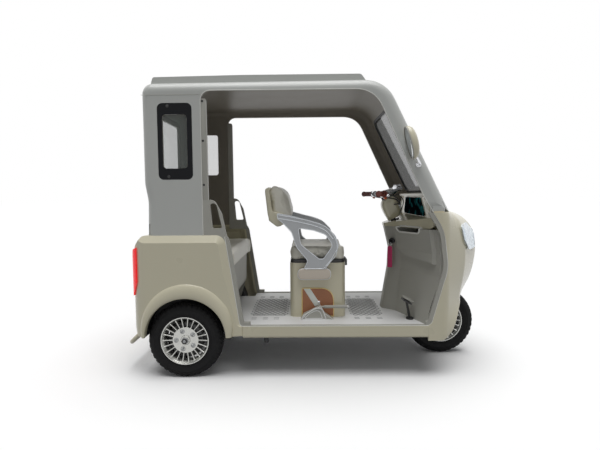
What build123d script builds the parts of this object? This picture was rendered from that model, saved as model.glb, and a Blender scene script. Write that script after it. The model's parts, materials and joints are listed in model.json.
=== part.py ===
from build123d import *
import os
from math import atan2, cos, degrees, pi, radians, sin, tan

# Driving dimensions in millimetres. X runs forward from the rear axle, Y to the left, Z up from the ground.
wheelbase = 1570.0
roof_height = 1672.0
tyre_radius = 215.0
tyre_width = 100.0
rim_radius = 127.0
rim_flange = 10.0
cabin_half = 445.0
body_half = 470.0
flare_stand = 16.0
wheel_inset = 28.0
rear_track = 2 * (body_half - tyre_width / 2 - wheel_inset)
wall = 14.0
trim_width = 24.0
trim_depth = 20.0
glass = 5.0
clear = 0.4
running = 0.05
rear_overhang = 372.0
front_overhang = tyre_radius
overrun = 40.0

# Steering: rake from the vertical, the wheel's lead ahead of the axis and the turned diameters.
rake = 24.0
fork_lead = 7.0
stem_radius = 17.0
head_wall = 9.0
leg_radius = 16.0
leg_spread = 74.0
axle_radius = 12.5

# Seat and its box.
box_length = 336.0
box_half = 250.0
box_top = 631.0
box_rear = 597.0
deck_top = 300.0
deck_thickness = 16.0
lid_height = 20.0
cushion_height = 72.0
bar_radius = 11.1

belt_share = 0.4904
belt_height = roof_height * belt_share
deck_share = deck_top / roof_height


def outline(table):
    """Face in the XZ plane from rows of x share, z share and corner radius share."""
    points = [(wheelbase * x, roof_height * z) for x, z, _ in table]
    radii = [roof_height * r for _, _, r in table]
    return Plane.XZ * make_face(FilletPolyline(*points, radius=radii, close=True))


def prism(table, half):
    """Outline extruded to both sides of the centre plane."""
    return extrude(outline(table), amount=half, both=True)


def slab(table, low, high):
    """Outline extruded between two places across the vehicle."""
    return Pos(0, (low + high) / 2, 0) * prism(table, abs(high - low) / 2)


def block(x_low, x_high, y_low, y_high, z_low, z_high):
    """Box between six planes."""
    middle = Pos((x_low + x_high) / 2, (y_low + y_high) / 2, (z_low + z_high) / 2)
    return middle * Box(x_high - x_low, y_high - y_low, z_high - z_low)


def rod(start, end, radius):
    """Round bar from one point to another."""
    start, end = Vector(*start), Vector(*end)
    plane = Plane(origin=start, z_dir=end - start)
    return extrude(plane * Circle(radius), amount=(end - start).length)


def tube_along(points, bend, radius):
    """Round bar of constant section along straight runs joined by bends."""
    path = FilletPolyline(*points, radius=bend)
    start = Plane(origin=path @ 0, z_dir=path % 0)
    return sweep(start * Circle(radius), path=path)


def both_sides(solid):
    """The piece and its mirror image across the centre plane."""
    return solid + mirror(solid, about=Plane.XZ)


def x_at(share):
    return wheelbase * share


def z_at(share):
    return roof_height * share


def write(name, shape):
    """Move the piece so that the part's origin is the middle of its length, and write it."""
    middle = (wheelbase + front_overhang - rear_overhang) / 2
    export_step(Pos(-middle, 0, 0) * shape, f"parts/{name}.step")


os.makedirs("parts", exist_ok=True)

arm_foot_share = 0.3595

# Outlines. Columns: x as a share of the wheelbase, z and corner radius as shares of the roof height.
canopy_shares = [
    (-0.128, belt_share, 0),
    (-0.1248, 0.6041, 0.1196),
    (-0.1357, 0.6639, 0.1196),
    (-0.1357, 0.997, 0.0371),
    (0.728, 1.0024, 0.1106),
    (0.9573, 0.5628, 0),
    (0.8917, 0.5628, 0),
    (0.828, belt_share, 0),
]
canopy_foot_shares = [
    (0.828, 0.4187, 0),
    (0.828, 0.5981, 0),
    (0.9274, 0.5981, 0),
    (0.9465, 0.561, 0),
    (0.9465, 0.4187, 0),
]
door_shares = [
    (0.0764, 0.9671, 0.0371),
    (0.0764, belt_share, 0),
    (0.1516, belt_share, 0.0347),
    (0.2025, deck_share, 0.0144),
    (0.8904, deck_share, 0.0239),
    (0.949, 0.3738, 0.1495),
    (0.9338, 0.4994, 0.1495),
    (0.858, 0.6178, 0.2392),
    (0.6854, 0.9671, 0.0987),
]
cap_shares = [
    (-0.1172, 0.9868, 0),
    (-0.1057, 1.0239, 0.0084),
    (0.2166, 1.0281, 0),
    (0.6446, 1.0281, 0.0144),
    (0.6764, 0.9868, 0),
]
body_shares = [
    (-0.1433, belt_share, 0.0179),
    (-0.172, 0.4545, 0.0359),
    (-0.186, 0.3589, 0.0897),
    (-0.186, 0.1974, 0.0359),
    (-0.1694, 0.1471, 0.012),
    (0.2121, 0.1471, 0),
    (0.2121, belt_share, 0),
]
flank_shares = [
    (-0.2548, belt_share, 0),
    (-0.2548, 0.0598, 0),
    (0.2121, 0.0598, 0),
    (0.2121, belt_share, 0),
]
tail_lamp_shares = [
    (-0.1624, 0.451, 0),
    (-0.1809, 0.4438, 0.0084),
    (-0.1924, 0.3828, 0.0478),
    (-0.1924, 0.2943, 0.0096),
    (-0.1847, 0.2787, 0.0036),
    (-0.1624, 0.3349, 0.0179),
]
cheek_shares = [
    (0.8809, 0.128, 0),
    (0.9363, 0.1292, 0.0359),
    (0.9713, 0.1519, 0.0359),
    (1.0242, 0.2536, 0.0359),
    (1.1465, 0.3589, 0),
    (1.1465, 0.5742, 0),
    (0.8809, 0.5742, 0),
]
headlamp_shares = [
    (1.014, 0.5132, 0.0084),
    (1.0599, 0.5191, 0.0084),
    (1.0955, 0.4856, 0.0239),
    (1.0968, 0.4282, 0.0084),
    (1.0535, 0.4258, 0.0179),
    (1.0268, 0.4641, 0.0239),
]
base_shares = [
    (-0.11, deck_share, 0),
    (0.1369, deck_share, 0),
    (0.1631, 0.2632, 0.0359),
    (0.1656, 0.3714, 0),
    (-0.11, 0.3714, 0),
]
pocket_shares = [
    (0.7516, 0.5203, 0),
    (0.7745, 0.4426, 0.0359),
    (0.8344, 0.3971, 0.0478),
    (0.9172, 0.3804, 0),
    (0.9172, 0.5203, 0),
]
dash_shares = [
    (0.7389, 0.5012, 0),
    (0.7389, 0.5072, 0),
    (0.8943, 0.5407, 0.003),
    (0.8879, 0.6136, 0.0018),
    (0.8752, 0.616, 0.0018),
    (0.8764, 0.6268, 0.0048),
    (0.907, 0.628, 0),
    (0.9376, 0.5634, 0),
    (0.9172, 0.5263, 0),
    (0.8917, 0.5012, 0),
]
display_shares = [
    (0.8955, 0.5431, 0.0018),
    (0.8898, 0.6106, 0.0018),
    (0.8847, 0.6106, 0.0018),
    (0.8904, 0.5431, 0.0018),
]
brake_shares = [
    (0.4204, deck_share, 0),
    (0.4331, 0.1974, 0.0084),
    (0.4611, 0.2093, 0.012),
    (0.4968, 0.2273, 0.0072),
    (0.5121, 0.201, 0.0084),
    (0.5452, deck_share, 0),
]
armrest_shares = [
    (0.3338, 0.5586, 0.0048),
    (0.3873, 0.549, 0.0359),
    (0.4459, 0.5335, 0.0359),
    (0.5159, 0.512, 0.0359),
    (0.5529, 0.4785, 0.0299),
    (0.5669, 0.4402, 0.0239),
    (0.5389, 0.3947, 0.0239),
    (0.5083, arm_foot_share, 0.0036),
    (0.435, arm_foot_share, 0.0036),
    (0.4497, 0.3888, 0.0096),
    (0.4076, 0.4366, 0.0359),
    (0.3898, belt_share, 0.0239),
    (0.3605, 0.5203, 0.012),
    (0.3376, 0.5383, 0.006),
]
armrest_gap_shares = [
    (0.4127, 0.506, 0.0072),
    (0.4713, 0.4976, 0.0239),
    (0.5172, 0.4821, 0.0239),
    (0.5452, 0.4438, 0.0179),
    (0.5096, 0.3947, 0.0096),
    (0.4917, 0.3947, 0.0096),
    (0.4229, 0.4462, 0.0299),
]
backrest_shell_shares = [
    (0.3185, 0.6579, 0.0048),
    (0.2866, 0.6447, 0.0084),
    (0.2981, 0.5443, 0.0359),
    (0.3312, 0.5084, 0.0048),
    (0.3516, 0.512, 0.0024),
    (0.3172, 0.5562, 0.0239),
    (0.3057, 0.6364, 0.006),
]
backrest_wing_shares = [
    (0.3032, 0.5682, 0.006),
    (0.3643, 0.5562, 0.0084),
    (0.3643, 0.5203, 0.0084),
    (0.3312, 0.5096, 0.0048),
    (0.2994, 0.5323, 0.0084),
]
backrest_pad_shares = [
    (0.3197, 0.6603, 0.012),
    (0.3064, 0.6352, 0.0036),
    (0.3178, 0.5562, 0.0239),
    (0.3522, 0.5126, 0.0036),
    (0.3847, 0.5383, 0.0179),
    (0.3567, 0.64, 0.0239),
]
grab_shares = [
    (0.0764, 0.6089, 0),
    (0.1172, 0.6089, 0.0239),
    (0.1439, 0.5622, 0.0478),
    (0.1631, 0.4725, 0),
    (0.0764, 0.4725, 0),
]
grab_hole_shares = [
    (0.1019, 0.5969, 0.0084),
    (0.1248, 0.5969, 0.012),
    (0.1452, 0.5132, 0.006),
    (0.1096, 0.5132, 0.006),
]

# Nose sections. Columns: z share, corner x share, corner half width share, tip x share, tip half width share.
nose_shares = [
    (0.5628, 0.9745, 0.2051, 0.9911, 0.0955),
    (0.5383, 1.0032, 0.2076, 1.0586, 0.0955),
    (0.5024, 1.0217, 0.2102, 1.0955, 0.0955),
    (0.4426, 1.0318, 0.2115, 1.1146, 0.0955),
    (0.3708, 1.0318, 0.2115, 1.1096, 0.0955),
    (0.3110, 1.0229, 0.2102, 1.0904, 0.0955),
    (0.2572, 1.0166, 0.2089, 1.0586, 0.0955),
    (0.1280, 1.0064, 0.2076, 1.0446, 0.0955),
]

# Leg shield sections. Columns: z share, middle x share, wing x share, side x share.
bow_shares = [
    (0.1734, 0.7541, 0.8038, 0.8739),
    (0.2572, 0.7682, 0.8127, 0.9006),
    (0.3409, 0.7834, 0.8229, 0.9210),
    (0.4187, 0.7873, 0.8229, 0.9248),
    (0.5036, 0.7662, 0.8051, 0.9108),
    (0.6352, 0.7662, 0.8051, 0.9108),
]

# Canopy: an extruded side outline with rounded long edges, hollowed and cut for doorways and windows.
canopy_edge = 55.0
seat_line_share = 0.50
skin_tolerance = 0.001
canopy_outer = prism(canopy_shares, cabin_half)


def long_edges(solid, half):
    """Edges that lie in the two side planes of a prism."""
    flat = [e for e in solid.edges() if e.bounding_box().size.Y < skin_tolerance]
    picked = [e for e in flat if abs(abs(e.center().Y) - half) < skin_tolerance]
    return [e for e in picked if e.center().Z > z_at(seat_line_share)]


canopy_outer = fillet(long_edges(canopy_outer, cabin_half), canopy_edge)


cabin_rear = x_at(canopy_shares[0][0])
foot_front = x_at(0.83)
foot_low = z_at(0.45)
foot_high = z_at(0.53)


def canopy_inside(depth):
    """Space inside the canopy's skin at a depth, open at the bottom."""
    face = offset(outline(canopy_shares), amount=-depth)
    inner = extrude(face, amount=cabin_half - depth, both=True)
    half = cabin_half - depth
    rear_foot = block(cabin_rear + depth, foot_front, -half, half, foot_low, foot_high)
    front_foot = prism(canopy_foot_shares, cabin_half - depth)
    return fillet(long_edges(inner, cabin_half - depth), canopy_edge - depth) + rear_foot + front_foot


door = prism(door_shares, body_half + overrun)
canopy = canopy_outer - canopy_inside(wall) - door
screen_half = 365.0
screen_low = z_at(0.628)
screen_high = z_at(0.934)
screen_corner = 60.0
screen_seal = 14.0
screen_from = x_at(0.66)


def screen_cut(margin):
    """Front view outline of the windscreen, set in by a margin and run through the front wall."""
    sketch = Plane.YZ.offset(screen_from) * Pos(0, (screen_low + screen_high) / 2) * RectangleRounded(
        2 * (screen_half - margin), screen_high - screen_low - 2 * margin, screen_corner - margin
    )
    return extrude(sketch, amount=wheelbase)


seam_height = z_at(0.954)
seam_front = x_at(0.2)
rear_part = block(-rear_overhang, seam_front, -cabin_half, cabin_half, 0, seam_height)
window_length = 192.0
window_height = 420.0
window_corner = 30.0
window_x = x_at(-0.0153)
window_z = z_at(0.802)
pane_length = 136.0
pane_height = 296.0
pane_corner = 18.0
rear_window_half = 300.0
rear_window_border = 34.0
rear_cut_reach = 120.0


def window_cut(length, height, corner):
    """Rounded window outline run through both side walls."""
    sketch = Plane.XZ * Pos(window_x, window_z) * RectangleRounded(length, height, corner)
    return extrude(sketch, amount=cabin_half + overrun, both=True)


def rear_window_cut(border, corner):
    """Rounded window outline run through the rear wall."""
    sketch = Plane.YZ.offset(cabin_rear - overrun) * Pos(0, window_z) * RectangleRounded(
        2 * (rear_window_half - border), window_height - 2 * border, corner
    )
    return extrude(sketch, amount=rear_cut_reach)


roof = canopy - rear_part - screen_cut(0)
side_window = window_cut(window_length, window_height, window_corner)
rear_window = rear_window_cut(0, window_corner)
rear_cabin = (canopy & rear_part) - side_window - rear_window


def rear_core(depth):
    """Rear half of the cabin between its side walls, at a depth in from their faces."""
    half = cabin_half - depth
    return block(-rear_overhang, seam_front, -half, half, z_at(seat_line_share), seam_height)


side_skins = rear_core(0) - rear_core(wall)
pane_space = window_cut(pane_length, pane_height, pane_corner)
side_frames = (side_skins & side_window) - pane_space
side_panes = (rear_core(glass) - rear_core(2 * glass)) & pane_space
rear_pane_space = rear_window_cut(rear_window_border, pane_corner)
rear_frame = ((canopy_outer - canopy_inside(wall)) & rear_window) - rear_pane_space
rear_pane = (canopy_inside(glass) - canopy_inside(2 * glass)) & rear_pane_space
write("roof", roof)
write("rear_cabin", rear_cabin)
write("window_frames", side_frames + rear_frame)
write("window_panes", side_panes + rear_pane)

windscreen_seal = (canopy_outer - canopy_inside(wall)) & (screen_cut(0) - screen_cut(screen_seal))
windscreen = (canopy_inside(glass) - canopy_inside(2 * glass)) & screen_cut(screen_seal)
write("windscreen_seal", windscreen_seal)
write("windscreen", windscreen)

cap_half = 362.0
cap_wall = 6.0
cap_inner = extrude(offset(outline(cap_shares), amount=-cap_wall), amount=cap_half - cap_wall, both=True)
cap = prism(cap_shares, cap_half) - cap_inner - canopy_outer
write("roof_cap", cap)

# Rear body: tub with rounded plan, cut for the doorway, the cabin space and the wheel arches.
body_corner = 90.0
arch_radius = 228.0
arch_x = x_at(0.0076)
arch_z = z_at(0.1423)
sill_half = 448.0
body_rear = x_at(-0.186)
shoulder_x = x_at(0.146)
body_front = x_at(0.2121)


def plan(grow):
    """Plan outline of the rear body, grown by a margin."""
    rear = body_rear - grow
    side = body_half + grow
    points = [
        (rear, -side),
        (shoulder_x, -side),
        (body_front, -sill_half - grow),
        (body_front, sill_half + grow),
        (shoulder_x, side),
        (rear, side),
    ]
    corners = [body_corner + grow, body_corner, 0, 0, body_corner, body_corner + grow]
    return make_face(FilletPolyline(*points, radius=corners, close=True))


def body_form(grow, low, high):
    return Pos(0, 0, low) * extrude(plan(grow), amount=high - low)


body_bottom = z_at(0.1471)
bevel_depth = body_half - cabin_half
bevel_inset = 40.0
bevel_angle = degrees(atan2(bevel_inset, bevel_depth))


def flank_form(inset):
    """Body between its flanks, which slope in towards the top and the doorway, set in by a wall."""
    face = outline(flank_shares) - outline(door_shares)
    if inset:
        face = offset(face, amount=-inset)
    middle = extrude(face, amount=cabin_half - inset, both=True)
    flank = extrude(Pos(0, inset - cabin_half, 0) * face, amount=bevel_depth, taper=bevel_angle)
    return middle + both_sides(flank)


body_outer = prism(body_shares, body_half) & body_form(0, body_bottom - overrun, belt_height + overrun)
body_outer &= flank_form(0)
inner_prism = extrude(offset(outline(body_shares), amount=-wall), amount=body_half, both=True)
tub_front = x_at(0.3)
tub_high = z_at(0.3)
inner_prism += block(body_rear + wall, tub_front, -body_half, body_half, 0, tub_high)
body_inner = body_form(-wall, body_bottom - overrun, belt_height - wall) & flank_form(wall) & inner_prism
deck_lap = 1.0
deck_half = cabin_half - trim_depth + deck_lap
flange_reach = deck_half
front_wall_x = x_at(0.127)
body_inner += block(front_wall_x, tub_front, -flange_reach, flange_reach, 0, belt_height)
ledge_low = belt_height - overrun
ledge_half = cabin_half - wall
ledge = block(cabin_rear + wall, tub_front, -ledge_half, ledge_half, ledge_low, belt_height + overrun)
arch_half = body_half + overrun
arch_cut = Pos(arch_x, 0, arch_z) * extrude(Plane.XZ * Circle(arch_radius), amount=arch_half, both=True)
arch_cut += block(arch_x - arch_radius, arch_x + arch_radius, -arch_half, arch_half, 0, arch_z)
arch_depth = 145.0
arch_inner = body_half - arch_depth
arch_sides = arch_cut - block(-rear_overhang, tub_front, -arch_inner, arch_inner, 0, roof_height)
rear_body = body_outer - body_inner - ledge - door - arch_sides
write("rear_body", rear_body)

# Arch flares: tapered bosses round each arch, on the body's flank.
flare_radius = 260.0
flare_x = x_at(0.0127)
flare_z = z_at(0.174)
flare_edge = 12.0
flare_plane = Plane.XZ.offset(body_half)
flare_middle = (flare_z + body_bottom) / 2
flare_face = Pos(flare_x, flare_z) * Circle(flare_radius)
flare_face += Pos(flare_x, flare_middle) * Rectangle(2 * flare_radius, flare_z - body_bottom)
flare = extrude(flare_plane * flare_face, amount=flare_stand)
flare_rim = flare.edges().group_by(Axis.Y)[0].filter_by(lambda e: e.center().Z > body_bottom + clear)
flare = fillet(flare_rim, flare_edge)
flare = flare - arch_cut - door
write("arch_flares", both_sides(flare))

lamp_in = 291.0
lamp_stand = 8.0
tail_lamp = slab(tail_lamp_shares, -body_half - flare_stand, -lamp_in)
tail_lamp &= body_form(lamp_stand, body_bottom, belt_height)
tail_lamp = tail_lamp - body_outer
write("tail_lamps", both_sides(tail_lamp))

# Wheel liners: half round tubs over the rear wheels inside the body.
liner_step = 8.0
liner_radius = arch_radius + liner_step
liner_wall = 4.0
liner_in = 326.0
liner_gap = 1.0
liner_out = body_half - wall - liner_gap


def liner(radius, low, high):
    whole = extrude(Plane.XZ * Pos(arch_x, arch_z) * Circle(radius), amount=body_half, both=True)
    return whole & block(arch_x - radius, arch_x + radius, low, high, arch_z, arch_z + radius)


liner_solid = liner(liner_radius + liner_wall, liner_in - liner_wall, liner_out)
liner_solid -= liner(liner_radius, liner_in, liner_out + overrun)

# Nose cowl lofted through plan sections.
nose_rear = x_at(0.8809)
nose_side = x_at(0.945)
nose_round = 60.0
tip_round = 80.0


def nose_form(inset):
    sections = []
    for z, corner_x, corner_y, tip_x, tip_y in nose_shares:
        side = sill_half - inset
        points = [
            (nose_rear, -side),
            (nose_side, -side),
            (wheelbase * corner_x - inset, -wheelbase * corner_y + inset),
            (wheelbase * tip_x - inset, -wheelbase * tip_y + inset),
            (wheelbase * tip_x - inset, wheelbase * tip_y - inset),
            (wheelbase * corner_x - inset, wheelbase * corner_y - inset),
            (nose_side, side),
            (nose_rear, side),
        ]
        radii = [0, nose_round, nose_round, tip_round, tip_round, nose_round, nose_round, 0]
        section = make_face(FilletPolyline(*points, radius=radii, close=True))
        sections.append(Pos(0, 0, roof_height * z) * section)
    return loft(sections)


nose_outer = nose_form(0)
hood_height = z_at(0.5628)
nose_ahead = x_at(1.2)
nose_inner = nose_form(wall) & block(nose_rear, nose_ahead, -body_half, body_half, 0, hood_height - wall)
wheel_gap_half = 196.0
wheel_gap_rise = 34.0
wheel_gap_top = tyre_radius * 2 + wheel_gap_rise
wheel_gap = block(0, nose_ahead, -wheel_gap_half, wheel_gap_half, 0, wheel_gap_top)
bow_middle = 36.0
bow_wing = 104.0
bow_side = 425.0
bow_front = x_at(1.05)
wing_round = 90.0
middle_round = 30.0


def bow_form(shift):
    """Space ahead of the bowed leg shield, moved forward by a distance."""
    sections = []
    for z, middle_x, wing_x, side_x in bow_shares:
        half = [
            (bow_front, bow_side),
            (wheelbase * side_x + shift, bow_side),
            (wheelbase * wing_x + shift, bow_wing),
            (wheelbase * middle_x + shift, bow_middle),
        ]
        points = half + [(x, -y) for x, y in reversed(half)]
        radii = [0, 0, wing_round, middle_round, middle_round, wing_round, 0, 0]
        section = make_face(FilletPolyline(*points, radius=radii, close=True))
        sections.append(Pos(0, 0, roof_height * z) * section)
    return loft(sections, ruled=True)


dash_half = 404.0
ledge_stand = 4.0
dash_outer = prism(dash_shares, dash_half) & bow_form(-ledge_stand)
cowl = (nose_outer & prism(cheek_shares, body_half)) - nose_inner - door - wheel_gap
cowl = cowl - canopy_outer - dash_outer
write("cowl", cowl)
headlamp_out = x_at(0.26)
headlamp_in = x_at(0.105)
headlamp_stand = 7.0
headlamp = slab(headlamp_shares, -headlamp_out, -headlamp_in) & nose_form(-headlamp_stand)
headlamp -= nose_outer
write("headlamps", both_sides(headlamp))

# Deck, sills and the grey trim bands of the doorways.
deck_front = x_at(0.9363)
deck_rear = x_at(0.2038)
deck_x_low = deck_rear
bench_floor_half = 318.0
deck = block(deck_x_low, deck_front, -deck_half, deck_half, deck_top - deck_thickness, deck_top)
bench_floor_rear = x_at(-0.12)
deck_low = deck_top - deck_thickness
deck += block(bench_floor_rear, deck_x_low, -bench_floor_half, bench_floor_half, deck_low, deck_top)
door_face = outline(door_shares)
band_face = door_face - offset(door_face, amount=-trim_width)
band_top = z_at(0.56)
band = extrude(band_face, amount=cabin_half, both=True)
band -= block(-wheelbase, 2 * wheelbase, -body_half, body_half, band_top, 2 * roof_height)
lip_height = 5.0
lip_rear = x_at(0.24)
lip_front = x_at(0.87)
band_rear = x_at(0.152)
band_depth = cabin_half - trim_depth
band -= block(lip_rear, lip_front, -body_half, body_half, deck_top + lip_height, belt_height)
band -= block(-wheelbase, 2 * wheelbase, -band_depth, band_depth, 0, roof_height)
band -= block(-wheelbase, band_rear, -body_half, body_half, 0, roof_height)
write("door_trims", band)
deck -= band
wheel_hole_rear = x_at(0.855)
wheel_hole_half = wheel_gap_half + wall
wheel_hole = block(wheel_hole_rear, nose_ahead, -wheel_hole_half, wheel_hole_half, 0, roof_height)
deck -= wheel_hole
sill_bottom = z_at(0.1388)
sill_rear = body_front + clear
sill_edge = 12.6
sill = block(sill_rear, nose_rear - clear, sill_half - wall, sill_half, sill_bottom, deck_top)
sill = fillet(sill.edges().filter_by(Axis.X).group_by(Axis.Z)[0].sort_by(Axis.Y)[-1], sill_edge)
write("sills", both_sides(sill) - band)

# Chassis: two box rails, cross members, head tube and down tube, with a rear tube for the bumper.
rail_half = 230.0
rail_width = 40.0
rail_top = deck_top - deck_thickness
rail_height = 42.0
rail_rear = x_at(-0.15)
rail_front = x_at(0.785)
head_low = z_at(0.335)
head_high = z_at(0.5024)
tan_rake = tan(radians(rake))
axis_dir = Vector(-sin(radians(rake)), 0, cos(radians(rake)))
ahead_dir = Vector(cos(radians(rake)), 0, sin(radians(rake)))


def on_axis(height):
    """Point of the steering axis at a height."""
    return (wheelbase - fork_lead / cos(radians(rake)) - (height - tyre_radius) * tan_rake, 0, height)


rail_in = rail_half - rail_width / 2
rail_out = rail_half + rail_width / 2
rail_low = rail_top - rail_height
rail = block(rail_rear, rail_front, rail_in, rail_out, rail_low, rail_top)
cross_shares = [-0.13, 0.19, 0.45, 0.77]
cross_width = 30.0
chassis = both_sides(rail)
for share in cross_shares:
    cross_x = x_at(share)
    cross_reach = cross_width / 2
    chassis += block(cross_x - cross_reach, cross_x + cross_reach, -rail_half, rail_half, rail_low, rail_top)
head_radius = stem_radius + running + head_wall
down_radius = 22.0
down_foot = (x_at(cross_shares[-1]), 0, rail_top - rail_height / 2)
down_rise = 35.0
down_top = on_axis(head_low + down_rise)
chassis += rod(down_foot, down_top, down_radius)
chassis += rod(on_axis(head_low), on_axis(head_high), head_radius)
rear_tube_radius = 15.0
rear_tube_half = 352.0
rear_tube_x = x_at(-0.162)
rear_tube_z = rail_top - rail_height / 2
rear_tube_end = Vector(rear_tube_x, rear_tube_half, rear_tube_z)
chassis += rod(rear_tube_end - Vector(0, 2 * rear_tube_half, 0), rear_tube_end, rear_tube_radius)
chassis += both_sides(block(rear_tube_x, rail_rear + clear, rail_in, rail_out, rail_low, rail_top))
stem_bore = rod(on_axis(head_low - overrun), on_axis(head_high + overrun), stem_radius + running)
chassis -= stem_bore
write("chassis_frame", chassis)
tube_gap = 3.0
down_space = rod(down_foot, down_top, down_radius + tube_gap)
deck -= down_space
write("deck", deck)

# Rear bumper: one bent tube whose ends meet the rear cross tube.
bumper_half = 338.0
bumper_bend = 60.0
bumper_radius = 12.5
bumper_tip_x = bumper_radius - rear_overhang
bumper_low = z_at(0.098)
bumper_points = [
    (rear_tube_x, -bumper_half, rear_tube_z),
    (bumper_tip_x, -bumper_half, bumper_low),
    (bumper_tip_x, bumper_half, bumper_low),
    (rear_tube_x, bumper_half, rear_tube_z),
]
bumper = tube_along(bumper_points, bumper_bend, bumper_radius)
bumper -= rod((rear_tube_x, -body_half, rear_tube_z), (rear_tube_x, body_half, rear_tube_z), rear_tube_radius)
bumper -= block(rear_tube_x, 0, -body_half, body_half, 0, roof_height)
write("rear_bumper", bumper)

# Grab rails from the cabin's jambs down to the rear body's shoulders.
grab_thick = 22.0
grab_in = cabin_half - grab_thick
grab = slab(grab_shares, grab_in, cabin_half) - slab(grab_hole_shares, grab_in, cabin_half)
grab = grab - rear_body - band
write("grab_rails", both_sides(grab))

# Rear axle with spring seats, stub shafts and axle nuts, the motor and the leaf springs.
axle_tube_radius = 25.0
stub_gap = 12.0
stub_from = rear_track / 2 - tyre_width / 2 - stub_gap
hub_half = 46.0
nut_radius = 17.0
nut_height = 12.0
nut_sides = 6
wheel_y = rear_track / 2
axle = rod((0, -stub_from, tyre_radius), (0, stub_from, tyre_radius), axle_tube_radius)
stub_end = wheel_y + hub_half + clear
axle += rod((0, -stub_end, tyre_radius), (0, stub_end, tyre_radius), axle_radius)
nut_face = Pos(0, tyre_radius) * RegularPolygon(nut_radius, nut_sides)
nut = extrude(Plane.XZ.offset(stub_end) * nut_face, amount=nut_height)
axle += both_sides(nut)
spring_half = 230.0
pad_length = 70.0
spring_width = 45.0
pad_drop = 34.0
spring_in = spring_half - spring_width / 2
spring_out = spring_half + spring_width / 2
spring_top = tyre_radius - pad_drop
axle += both_sides(block(-pad_length / 2, pad_length / 2, spring_in, spring_out, spring_top, tyre_radius))
motor_radius = 66.0
motor_length = 190.0
motor = rod((0, -motor_length / 2, tyre_radius), (0, motor_length / 2, tyre_radius), motor_radius)
motor -= rod((0, -motor_length, tyre_radius), (0, motor_length, tyre_radius), axle_tube_radius)
write("rear_axle", axle)
write("drive_motor", motor)
axle_space = rod((0, -body_half, tyre_radius), (0, body_half, tyre_radius), axle_tube_radius + tube_gap)
write("wheel_liners", both_sides(liner_solid) - rear_body - axle_space)
spring_reach = 235.0
spring_thick = 16.0
hanger = 14.0
spring_low = spring_top - spring_thick
spring = block(-spring_reach, spring_reach, spring_in, spring_out, spring_low, spring_top)
spring += block(-spring_reach, hanger - spring_reach, spring_in, spring_out, spring_low, rail_low)
spring += block(spring_reach - hanger, spring_reach, spring_in, spring_out, spring_low, rail_low)
write("leaf_springs", both_sides(spring))

# Wheels: tyre and slotted rim, made about the Y axis and set at each place.
bead_half = 42.0
sidewall_drop = 42.0
shoulder_drop = 9.0
shoulder_in = 9.0
tread_half = 27.0
hub_radius = 30.0
disc_radius = 82.0
disc_out = 38.0
disc_thick = 9.0
barrel = 7.0
flange_half = 48.0
flange_thick = 7.0
slot_count = 22
fin_width = 7.0


def ring(r_low, r_high, y_low, y_high):
    """Ring about the Y axis between two radii and two places along it."""
    face = Plane.XZ * (Circle(r_high) - Circle(r_low) if r_low else Circle(r_high))
    return Pos(0, (y_low + y_high) / 2, 0) * extrude(face, amount=(y_high - y_low) / 2, both=True)


def tyre_form(radius, width):
    half = width / 2
    side = [
        (rim_radius, bead_half),
        (rim_radius + rim_flange, bead_half),
        (radius - sidewall_drop, half),
        (radius - shoulder_drop, half - shoulder_in),
        (radius, tread_half),
    ]
    section = side + [(r, -y) for r, y in reversed(side)]
    return revolve(make_face(Polyline(*section, close=True)), axis=Axis.Y)


def rim_form():
    slot_in = disc_radius
    slot_out = rim_radius - barrel
    rim = ring(rim_radius - barrel, rim_radius, -flange_half, flange_half)
    edge = bead_half
    rim += ring(rim_radius - barrel, rim_radius + rim_flange, edge, edge + flange_thick)
    rim += ring(rim_radius - barrel, rim_radius + rim_flange, -edge - flange_thick, -edge)
    rim += ring(0, rim_radius - barrel / 2, disc_out - disc_thick, disc_out)
    rim += ring(0, hub_radius, -hub_half, hub_half)
    in_half = pi * slot_in / slot_count - fin_width / 2
    out_half = pi * slot_out / slot_count - fin_width / 2
    corners = [(slot_in, -in_half), (slot_out, -out_half), (slot_out, out_half), (slot_in, in_half)]
    slot = make_face(Polyline(*corners, close=True))
    slots = PolarLocations(0, slot_count) * slot
    rim -= Pos(0, disc_out, 0) * extrude(Plane.XZ * Sketch(slots), amount=disc_thick * 2, both=True)
    return rim - ring(0, axle_radius + running, -rear_track, rear_track)


tyre = tyre_form(tyre_radius, tyre_width)
rim = rim_form()
half_turn = 180.0

# Columns: name, x, y, turn about the vertical.
wheel_places = [
    ("rear_left", 0, wheel_y, 0),
    ("rear_right", 0, -wheel_y, half_turn),
    ("front", wheelbase, 0, half_turn),
]
for name, x, y, turn in wheel_places:
    spot = Pos(x, y, tyre_radius) * Rot(0, 0, turn)
    write(f"{name}_tyre", spot * tyre)
    write(f"{name}_rim", spot * rim)

# Fork: stem, crown, two legs and the front axle.
crown_gap = 42.0
crown_reach = tyre_radius + crown_gap
crown_thick = 24.0
crown_length = 56.0
crown_round = 22.0
centre = Vector(wheelbase, 0, tyre_radius)
side = Vector(0, leg_spread, 0)
leg_top = centre + axis_dir * crown_reach
fork = rod(centre + side - axis_dir * leg_radius, leg_top + side, leg_radius)
fork += rod(centre - side - axis_dir * leg_radius, leg_top - side, leg_radius)
crown_plane = Plane(origin=leg_top - axis_dir * crown_thick / 2, x_dir=ahead_dir, z_dir=axis_dir)
crown_face = RectangleRounded(crown_length, 2 * leg_spread + crown_length, crown_round)
fork += extrude(crown_plane * crown_face, amount=crown_thick)
stem_top = z_at(0.6117)
fork += rod(on_axis(leg_top.Z), on_axis(stem_top), stem_radius)
fork += rod((wheelbase, -leg_spread, tyre_radius), (wheelbase, leg_spread, tyre_radius), axle_radius)
write("fork", fork)
neck_height = 34.0
neck_wall = 10.0
neck_top = head_high + neck_height
neck = rod(on_axis(head_high + clear), on_axis(neck_top), head_radius + neck_wall)
neck -= rod(on_axis(0), on_axis(roof_height), stem_radius + running)
write("neck_ring", neck)

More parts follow.
